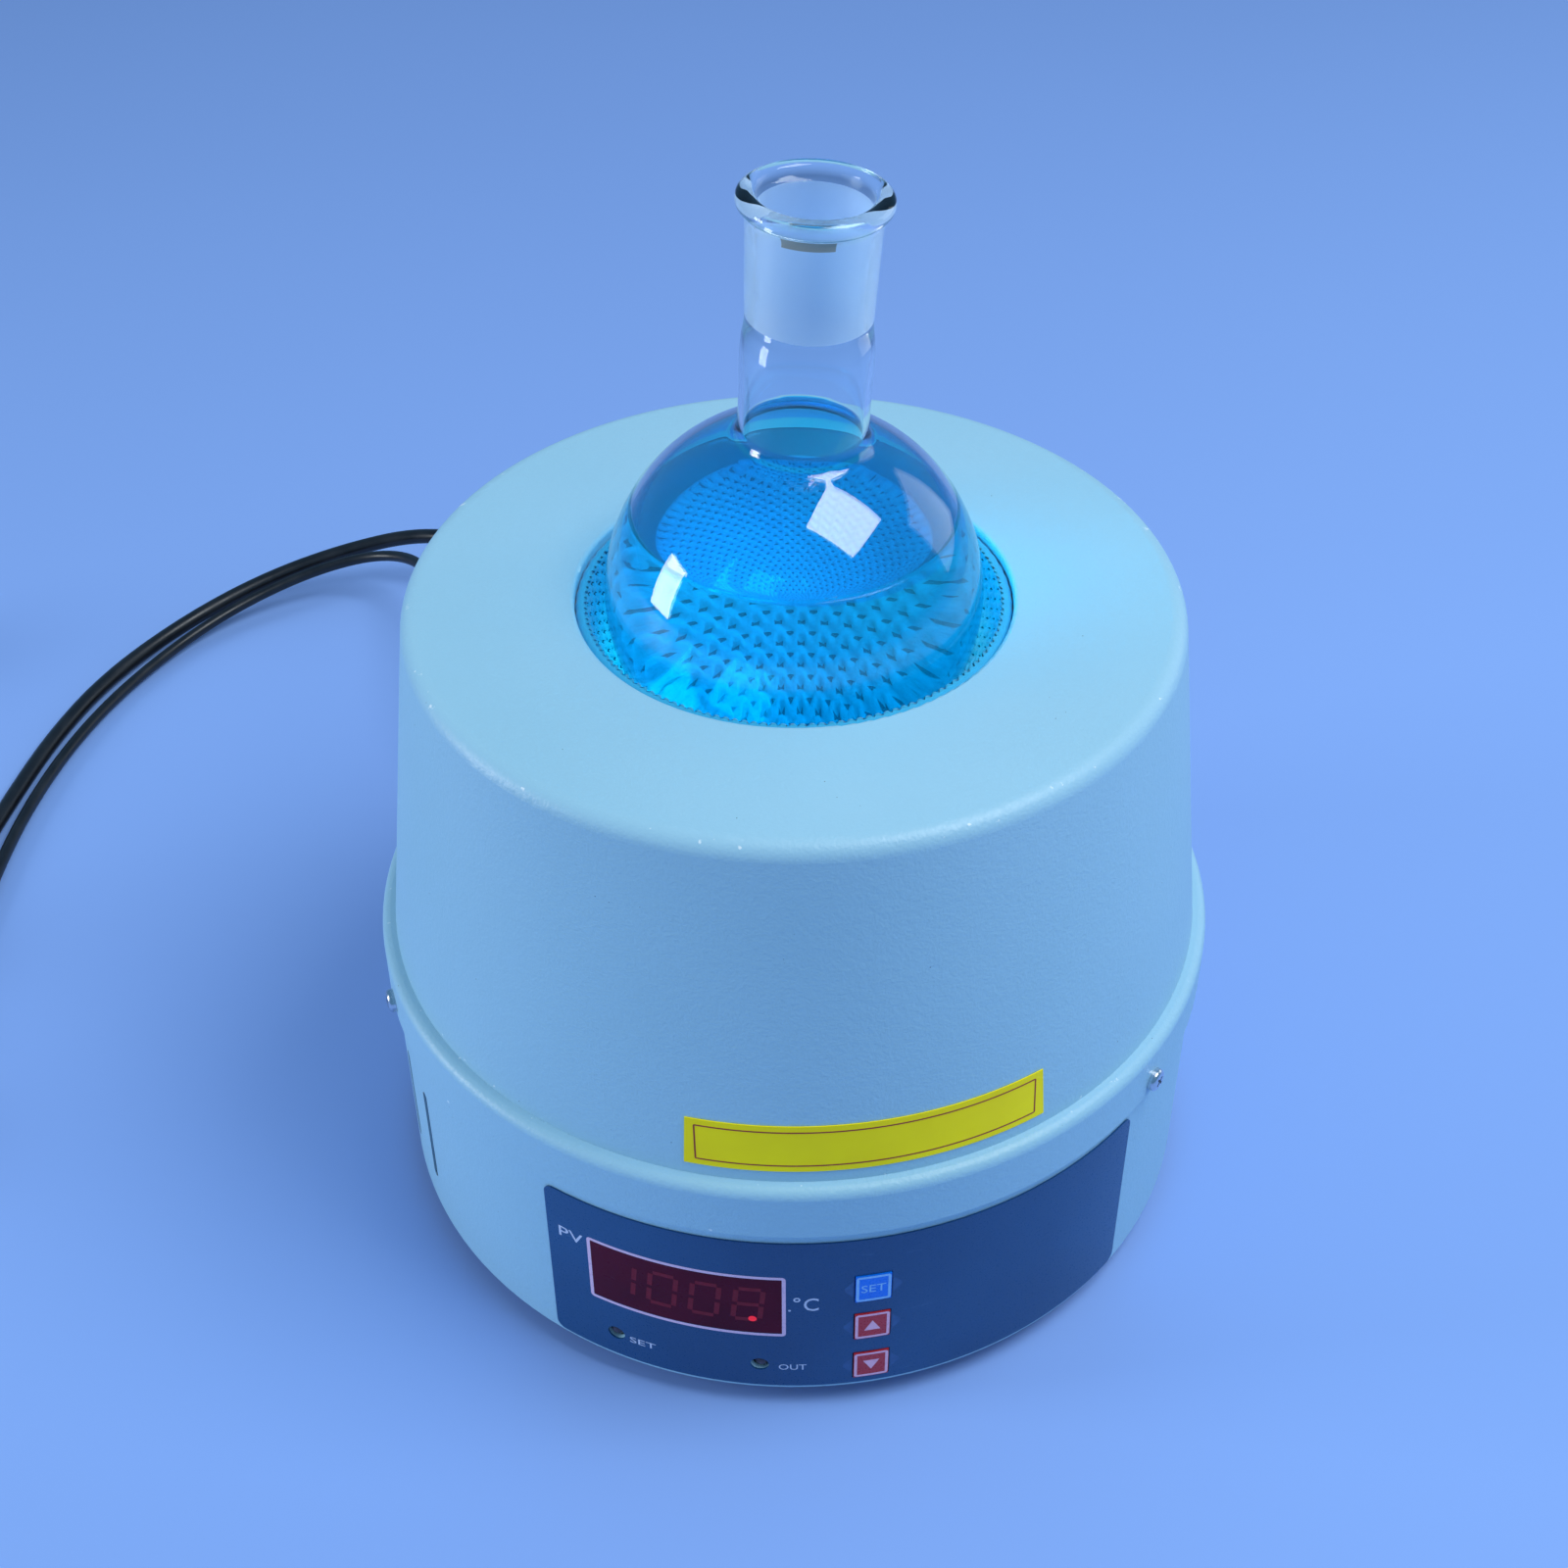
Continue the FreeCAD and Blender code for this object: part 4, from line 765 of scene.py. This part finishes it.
BOWL_RADIUS = 57.8
BOWL_CENTRE = 208
BOWL_RIM = 201
WALES = 72
COURSES = 25
STITCH_STEPS = 6
YARN_DEPTH = 1.5
# A stitch is two slanting legs, each an oval, in shares of its width and height
LEG_OFFSET = 0.25
LEG_SLANT = 24
LEG_LONG = 0.82
LEG_WIDE = 0.24
GAP_WAVE = 0.3  # below this height a face lies between the yarns and takes painted shade
GAP_SHADE_SLOT = 1  # in the bowl's list of materials
# Outward and upward from the rim
ROLL = [(0.5, 0.45), (1.3, 0.8), (2.2, 0.8), (3.0, 0.35), (3.4, -0.6), (3.45, -4)]
ROLL_DROP = 0.9
ROLL_RIPPLE = 0.12


def knit_height(across, along):
    """Height from 0 to 1 of a plain knitted face, in stitches across and along."""
    across = (across % 1.0) - 0.5
    top = np.zeros_like(across)
    slant = math.radians(LEG_SLANT)
    for side in (-1, 1):
        for row in (-1, 0, 1, 2):
            off_across = across - side * LEG_OFFSET
            off_along = (along % 1.0) - 0.5 - row + 0.5
            lengthwise = off_along * math.cos(slant) + side * off_across * math.sin(slant)
            sideways = off_across * math.cos(slant) - side * off_along * math.sin(slant)
            height = 1 - (lengthwise / LEG_LONG) ** 2 - (sideways / LEG_WIDE) ** 2
            top = np.maximum(top, height)
    return np.sqrt(np.clip(top, 0, 1))


rim_turn = math.degrees(math.asin((BOWL_RIM - BOWL_CENTRE) / BOWL_RADIUS))
columns = WALES * STITCH_STEPS
rows = COURSES * STITCH_STEPS
bowl_points = []
column_index = np.arange(columns)
for row in range(1, rows + 1):
    turn = math.radians(-90 + (rim_turn + 90) * row / rows)
    wave = knit_height(column_index / STITCH_STEPS, np.full(columns, row / STITCH_STEPS))
    for column in column_index:
        radius = BOWL_RADIUS + YARN_DEPTH * (1 - wave[column])
        reach = radius * math.cos(turn)
        height = BOWL_CENTRE + radius * math.sin(turn)
        bowl_points.append(polar(360 * column / columns, reach, height))
for outward, upward in ROLL:
    for column in column_index:
        ripple = ROLL_RIPPLE * math.cos(2 * math.pi * column / STITCH_STEPS)
        reach = BOWL_RADIUS * math.cos(math.radians(rim_turn)) + outward + ripple
        bowl_points.append(
            polar(360 * column / columns, reach, BOWL_RIM - ROLL_DROP + upward))
bowl_faces = []
for row in range(rows + len(ROLL) - 1):
    for column in range(columns):
        after = (column + 1) % columns
        low = row * columns
        high = low + columns
        bowl_faces.append((low + column, high + column, high + after, low + after))
bowl_points.append(Vector((0, 0, BOWL_CENTRE - BOWL_RADIUS - YARN_DEPTH)))
for column in range(columns):
    bowl_faces.append((len(bowl_points) - 1, column, (column + 1) % columns))
knit = mesh_piece(
    "knitted_bowl", bowl_points, bowl_faces, ["woven_fibre", "painted_gap_shade"])
# Faces low between the yarns take the painted shade
for row in range(rows - 1):
    wave = knit_height(
        (column_index + 0.5) / STITCH_STEPS, np.full(columns, (row + 1.5) / STITCH_STEPS))
    for column in column_index:
        if wave[column] < GAP_WAVE:
            knit.data.polygons[row * columns + int(column)].material_index = GAP_SHADE_SLOT
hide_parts("heating_bowl")

# Print on the panel: flat outlines in millimetres, bent round the film

PRINT_STEP = 1.6
CORNER_STEPS = 5
THINNEST = 0.05
INK = 0.03


def bend(points, azimuth, height, radius):
    """Points (x, y) of a flat print laid round the wall, x along it and y up."""
    return [polar(azimuth + math.degrees(x / radius), radius, height + y) for x, y in points]


def bar(start, finish, width, pieces):
    """A straight stroke as quads, cut into short pieces so that it can bend."""
    start = Vector(start)
    finish = Vector(finish)
    side = (finish - start).normalized().orthogonal() * width / 2
    points = []
    faces = []
    for number in range(pieces + 1):
        middle = start.lerp(finish, number / pieces)
        points += [middle + side, middle - side]
        if number:
            last = len(points)
            faces.append((last - 4, last - 3, last - 1, last - 2))
    return points, faces


def rounded_frame(width, height, corner, stroke):
    """A rounded rectangle's border as a closed ring of quads."""
    rings = [[], []]
    for x, y, start in ((1, 1, 0), (-1, 1, 90), (-1, -1, 180), (1, -1, 270)):
        centre = (x * (width / 2 - corner), y * (height / 2 - corner))
        for step in range(CORNER_STEPS + 1):
            angle = math.radians(start + 90 * step / CORNER_STEPS)
            way = (math.cos(angle), math.sin(angle))
            for ring, radius in zip(rings, (corner, max(corner - stroke, THINNEST))):
                ring.append((centre[0] + radius * way[0], centre[1] + radius * way[1]))
    points = []
    faces = []
    count = len(rings[0])
    for number in range(count):
        after = (number + 1) % count
        cuts = math.ceil(math.dist(rings[0][number], rings[0][after]) / PRINT_STEP)
        for cut in range(cuts):
            corners = []
            for ring, share in ((0, cut), (0, cut + 1), (1, cut + 1), (1, cut)):
                one = Vector(rings[ring][number])
                other = Vector(rings[ring][after])
                corners.append(one.lerp(other, share / cuts))
            faces.append(tuple(range(len(points), len(points) + 4)))
            points += corners
    return points, faces


def round_mark(diameter, stroke):
    return rounded_frame(diameter, diameter, diameter / 2, stroke)


def joined(parts):
    """Several (points, faces) as one."""
    points = []
    faces = []
    for part_points, part_faces in parts:
        start = len(points)
        points += list(part_points)
        faces += [tuple(corner + start for corner in face) for face in part_faces]
    return points, faces


def lettering(text, height, width):
    """A word as a flat mesh, centred, of a full height and width."""
    curve = bpy.data.curves.new("word", "FONT")
    curve.body = text
    curve.resolution_u = 3
    curve.offset = 0.004
    holder = bpy.data.objects.new("word", curve)
    mesh = bpy.data.meshes.new_from_object(holder)
    points = [(vertex.co.x, vertex.co.y) for vertex in mesh.vertices]
    faces = [tuple(face.vertices) for face in mesh.polygons]
    left = min(x for x, y in points)
    right = max(x for x, y in points)
    low = min(y for x, y in points)
    high = max(y for x, y in points)
    bpy.data.objects.remove(holder)
    bpy.data.curves.remove(curve)
    bpy.data.meshes.remove(mesh)
    flat = []
    for x, y in points:
        flat.append(((x - (left + right) / 2) / (right - left) * width,
                     (y - (low + high) / 2) / (high - low) * height))
    return flat, faces


def print_piece(name, part, azimuth, height, radius, material, body="mantle"):
    """A flat part laid on a wall of this radius, a coat of ink above it."""
    points, faces = part
    bent = bend(points, azimuth, height, radius + INK)
    mesh_piece(name, bent, faces, material, body, smooth=False)


DISPLAY_MIDDLE = 46
display_border = rounded_frame(58.4, 26.4, corner=1.2, stroke=1.1)
print_piece(
    "display_border", display_border, DISPLAY_AZIMUTH, DISPLAY_MIDDLE, FILM_RADIUS, "print_lilac")
# Name, text, azimuth, middle height, letter height, width
WORDS = [
    ("value_word", "PV", -38.8, 56.2, 4.3, 8.2),
    ("unit_word", "C", -6.2, 47.2, 5.6, 4.2),
    ("set_word", "SET", -29.0, 18.7, 2.5, 8.2),
    ("out_word", "OUT", -8.6, 18.4, 2.5, 8.0),
]
for name, text, azimuth, height, tall, wide in WORDS:
    print_piece(name, lettering(text, tall, wide), azimuth, height, FILM_RADIUS, "print_white")
print_piece("degree_mark", round_mark(2.0, 0.5), -8.05, 49.4, FILM_RADIUS, "print_white")
print_piece("point_mark", round_mark(0.8, 0.35), -9.0, 44.6, FILM_RADIUS, "print_white")

# Digits at the dark window: four of them, dim, with one lit point

DIGIT_HIGH = 13.4
DIGIT_WIDE = 7.6
DIGIT_STROKE = 1.5
DIGIT_PITCH = 12.4
DIGIT_LEAN = 1.2
DIGIT_LIFT = 0.6
SEGMENT_TRIM = 0.7
# Ends of each segment in shares of the digit's width and height
SEGMENTS = {
    "a": ((0, 1), (1, 1)),
    "b": ((1, 1), (1, 0.5)),
    "c": ((1, 0.5), (1, 0)),
    "d": ((0, 0), (1, 0)),
    "e": ((0, 0.5), (0, 0)),
    "f": ((0, 1), (0, 0.5)),
    "g": ((0, 0.5), (1, 0.5)),
}
FIGURES = {"0": "abcdef", "1": "bc", "8": "abcdefg"}
digit_parts = []
for place, figure in enumerate("1008"):
    for segment in FIGURES[figure]:
        ends = []
        for across, up in SEGMENTS[segment]:
            x = (place - 1.5) * DIGIT_PITCH + (across - 0.5) * DIGIT_WIDE
            x += (up - 0.5) * DIGIT_LEAN
            ends.append(Vector((x, (up - 0.5) * DIGIT_HIGH)))
        trim = (ends[1] - ends[0]).normalized() * SEGMENT_TRIM
        digit_parts.append(bar(ends[0] + trim, ends[1] - trim, DIGIT_STROKE, 2))
print_piece(
    "display_digits", joined(digit_parts), DISPLAY_AZIMUTH, DISPLAY_MIDDLE + DIGIT_LIFT,
    FILM_RADIUS, "digit_red",
)
print_piece(
    "display_point", round_mark(2.4, 1.15), -13.8, 40.3, FILM_RADIUS, "dot_red",
)

# Keys: a border and a sign on each, and beside it lighter ears of painted light, where the film
# bulges over the key

KEY_WIDE = 10.2
KEY_HIGH = 11
KEY_EDGE = 0.3
KEY_BORDER = 0.9
ARROW = [(-2.4, -1.9), (2.4, -1.9), (0, 2.3)]
EAR_START = 0.6
EAR_END = 3.1
EAR_LIFT = 0.2
set_sign = lettering("SET", 3.2, 7.0)
up_sign = (ARROW, [(0, 1, 2)])
down_sign = ([(x, -y) for x, y in ARROW], [(0, 1, 2)])
# Key, middle height, sign, ink, slot
KEYS = [
    ("set_key", 52.7, set_sign, "print_sky", "key_blue"),
    ("up_key", 35.8, up_sign, "print_pink", "key_red"),
    ("down_key", 17.8, down_sign, "print_pink", "key_red"),
]
for key, height, sign, colour, slot in KEYS:
    border = rounded_frame(KEY_WIDE - KEY_EDGE, KEY_HIGH - KEY_EDGE, KEY_BORDER, KEY_BORDER)
    print_piece(
        key + "_mark", joined([border, sign]), KEY_AZIMUTH, height, KEY_RADIUS, colour, key)
    ears = []
    for side in (-1, 1):
        edge = side * (KEY_WIDE / 2 + EAR_START)
        tip = side * (KEY_WIDE / 2 + EAR_END)
        ears.append(([(edge, -3.6), (edge, 3.2), (tip, 0.4), (tip, -0.8)], [(0, 1, 2, 3)]))
    print_piece(
        key + "_ears", joined(ears), KEY_AZIMUTH, height + EAR_LIFT, FILM_RADIUS, "print_faint")

# Yellow strip: a thin red line just inside its edge

STRIP_MIDDLE = 1.6
STRIP_HALF_ANGLE = 24.0
STRIP_LOW = 100
STRIP_HIGH = 115.5
STRIP_PROUD = 0.35  # the strip's thickness on the cone
STRIP_SIDE_MARGIN = 2.5
STRIP_EDGE_MARGIN = 1.8
STRIP_LINE = 0.5


def cone_radius(height):
    share = (height - CONE_FOOT[1]) / (CONE_TOP[1] - CONE_FOOT[1])
    return CONE_FOOT[0] + (CONE_TOP[0] - CONE_FOOT[0]) * share


strip_level = (STRIP_LOW + STRIP_HIGH) / 2
strip_reach = math.radians(STRIP_HALF_ANGLE) * cone_radius(strip_level)
border_points, border_faces = rounded_frame(
    2 * (strip_reach - STRIP_SIDE_MARGIN), STRIP_HIGH - STRIP_LOW - 2 * STRIP_EDGE_MARGIN,
    STRIP_LINE, STRIP_LINE)
wrapped = []
for x, y in border_points:
    level = strip_level + y
    reach = cone_radius(level) + STRIP_PROUD + INK
    wrapped.append(polar(STRIP_MIDDLE + math.degrees(x / reach), reach, level))
mesh_piece("strip_line", wrapped, border_faces, "print_red", smooth=False)

# Cross recesses of the three seam screws, as flat crosses of painted shade

SCREW_AZIMUTHS = [46.6, -79.5, 165]
SCREW_HEIGHT = 82.5
SCREW_FACE = 127.89
CROSS_TURN = 38
CROSS_REACH = 1.75
CROSS_STROKE = 0.75
cross_parts = []
for turn in (CROSS_TURN, CROSS_TURN + 90):
    reach = Vector((math.cos(math.radians(turn)), math.sin(math.radians(turn)))) * CROSS_REACH
    cross_parts.append(bar(-reach, reach, CROSS_STROKE, 2))
cross = joined(cross_parts)
for number, azimuth in enumerate(SCREW_AZIMUTHS, start=1):
    print_piece(
        "screw_cross_%d" % number, cross, azimuth, SCREW_HEIGHT, SCREW_FACE, "recess_dark")

# Rocker's I and O on its tilted faces, and the slot of the fuse cap as a flat mark of painted
# shade

BEHIND = 200
ON_HEIGHT = 45.3
OFF_HEIGHT = 37.6
FUSE_FACE = 128.03


def laid_on(name, node, part, height, material, body):
    """A flat print, seen from behind and centred at X 0, pressed on a CAD node's back."""
    tree = BVHTree.FromPolygons(
        [vertex.co for vertex in NODES[node].data.vertices],
        [tuple(face.vertices) for face in NODES[node].data.polygons])
    points, faces = part
    placed = []
    for x, y in points:
        start = Vector((-x, BEHIND, height + y)) * MM
        hit = tree.ray_cast(start, Vector((0, -1, 0)))[0]
        placed.append((hit + Vector((0, INK * MM, 0))) / MM)
    mesh_piece(name, placed, faces, material, body, smooth=False)


on_bar = bar((0, -1.8), (0, 1.8), 0.7, 4)
off_ring = round_mark(3.4, 0.6)
for name, part, height in (
    ("rocker_on_mark", on_bar, ON_HEIGHT), ("rocker_off_mark", off_ring, OFF_HEIGHT)
):
    laid_on(name, "power_rocker", part, height, "print_white", "rocker")
# The fuse cap's slot: a flat bar of painted shade
fuse_bar = bar((-3, 0), (3, 0), 1.1, 4)
print_piece(
    "fuse_slot", fuse_bar, FUSE_AZIMUTH, REAR_HEIGHT, FUSE_FACE, "recess_dark")

# Raised rings round the tapered strain relief

RING_COUNT = 6
RING_PITCH = 3.2
RING_START = 24
RELIEF_RADIUS = 6.48  # where the rings start
RELIEF_TAPER = 0.087  # radius lost per millimetre
RING_MIDDLE = 0.8
# Out from the relief's surface, and along its axis
RING_OUTLINE = [(-0.6, 0), (0.25, 0.3), (0.35, RING_MIDDLE), (0.25, 1.3), (-0.6, 1.6)]
RELIEF_STEPS = 48
gland_turn = polar(GLAND_AZIMUTH, 1, 0).to_track_quat("Z", "Y").to_matrix().to_4x4()
ring_parts = []
for number in range(RING_COUNT):
    start = RING_PITCH * number
    radius = RELIEF_RADIUS - RELIEF_TAPER * (start + RING_MIDDLE)
    outline = [(radius + out, start + along) for out, along in RING_OUTLINE]
    ring_parts.append(lathe(outline, RELIEF_STEPS))
ring_points, ring_faces = joined(ring_parts)
rings = mesh_piece("relief_rings", ring_points, ring_faces, "black_plastic")
ring_place = polar(GLAND_AZIMUTH, GLAND_TIP - RING_START, REAR_HEIGHT) * MM
rings.data.transform(Matrix.Translation(ring_place) @ gland_turn)

# Frames of painted shade round the side vents, which make them look wider and darker, and the
# socket's pale enamel spot

VENT_AZIMUTHS = [71.5, 80, 88.5, 97, 105.5]
VENT_HEIGHT = 40
# Each frame is painted shade round a vent's opening
vent_outline, vent_outline_faces = rounded_frame(2.8, 37, corner=1.3, stroke=0.5)
vent_rings = []
for azimuth in VENT_AZIMUTHS + [-azimuth for azimuth in VENT_AZIMUTHS]:
    bent = bend(vent_outline, azimuth, VENT_HEIGHT, BASE_RADIUS + INK)
    vent_rings.append((bent, vent_outline_faces))
vent_points, vent_faces = joined(vent_rings)
mesh_piece("vent_edges", vent_points, vent_faces, "recess_dark", smooth=False)

SPOT_START = -36
SPOT_TURN = 44
SPOT_STEPS = 16
SPOT_LEVELS = [(111.2, 17.6), (112.2, 17.68), (113.2, 17.95), (113.9, 18.5)]  # height, radius
spot_points = []
spot_faces = []
for height, reach in SPOT_LEVELS:
    for step in range(SPOT_STEPS + 1):
        spot_points.append(polar(SPOT_START + SPOT_TURN * step / SPOT_STEPS, reach, height))
for row in range(len(SPOT_LEVELS) - 1):
    for step in range(SPOT_STEPS):
        low = row * (SPOT_STEPS + 1) + step
        high = low + SPOT_STEPS + 1
        spot_faces.append((low, low + 1, high + 1, high))
spot = mesh_piece("enamel_spot", spot_points, spot_faces, "enamel_spot")
put_in_well(spot, flask_lean)

# Floor, sky and lamps

FLOOR_HALF = 4000
FLOOR_BLUE = linear(134, 174, 242)
floor_paint = Paint("floor", FLOOR_BLUE, 0.9)
floor_paint.mottled(FLOOR_BLUE, dimmed(FLOOR_BLUE, 0.97), 1.2)
floor_corners = [
    (-FLOOR_HALF, -FLOOR_HALF, 0), (FLOOR_HALF, -FLOOR_HALF, 0),
    (FLOOR_HALF, FLOOR_HALF, 0), (-FLOOR_HALF, FLOOR_HALF, 0),
]
floor_mesh = bpy.data.meshes.new("floor")
floor_mesh.from_pydata(metres(floor_corners), [], [(0, 1, 2, 3)])
floor_mesh.materials.append(floor_paint.material)
in_scene("floor", floor_mesh)

# The sky that glossy surfaces mirror is a deeper blue than its light
SKY = (0.66, 0.83, 1.0, 1)
MIRRORED_SKY = (0.22, 0.55, 1.0, 1)
SKY_STRENGTH = 0.45
world = bpy.data.worlds.new("world")
world.use_nodes = True
background = world.node_tree.nodes["Background"]
world_path = world.node_tree.nodes.new("ShaderNodeLightPath")
world_tint = world.node_tree.nodes.new("ShaderNodeMix")
world_tint.data_type = "RGBA"
world_tint.inputs[6].default_value = SKY
world_tint.inputs[7].default_value = MIRRORED_SKY
world.node_tree.links.new(world_path.outputs["Is Glossy Ray"], world_tint.inputs[0])
world.node_tree.links.new(world_tint.outputs[2], background.inputs["Color"])
background.inputs["Strength"].default_value = SKY_STRENGTH
bpy.context.scene.world = world

LAMP_COLOUR = (0.93, 0.97, 1.0)
# Name, place and aim in metres, width, height, watts
LAMPS = [
    ("top", (0.60, -0.31, 1.43), (0, 0, 0.1), 0.8, 0.8, 15),
    ("right", (1.3, 0.5, 0.5), (0, 0, 0.12), 0.8, 0.8, 2),
    ("left", (-1.3, 0.03, 0.35), (0, 0, 0.12), 0.35, 0.6, 7),
]
for name, place, aim, width, height, power in LAMPS:
    data = bpy.data.lights.new(name, "AREA")
    data.shape = "RECTANGLE"
    data.size = width
    data.size_y = height
    data.energy = power
    data.color = LAMP_COLOUR
    lamp = in_scene(name, data)
    lamp.location = place
    lamp.rotation_euler = (Vector(aim) - Vector(place)).to_track_quat("-Z", "Y").to_euler()

bpy.context.scene.view_settings.view_transform = "Standard"
bpy.context.view_layer.update()
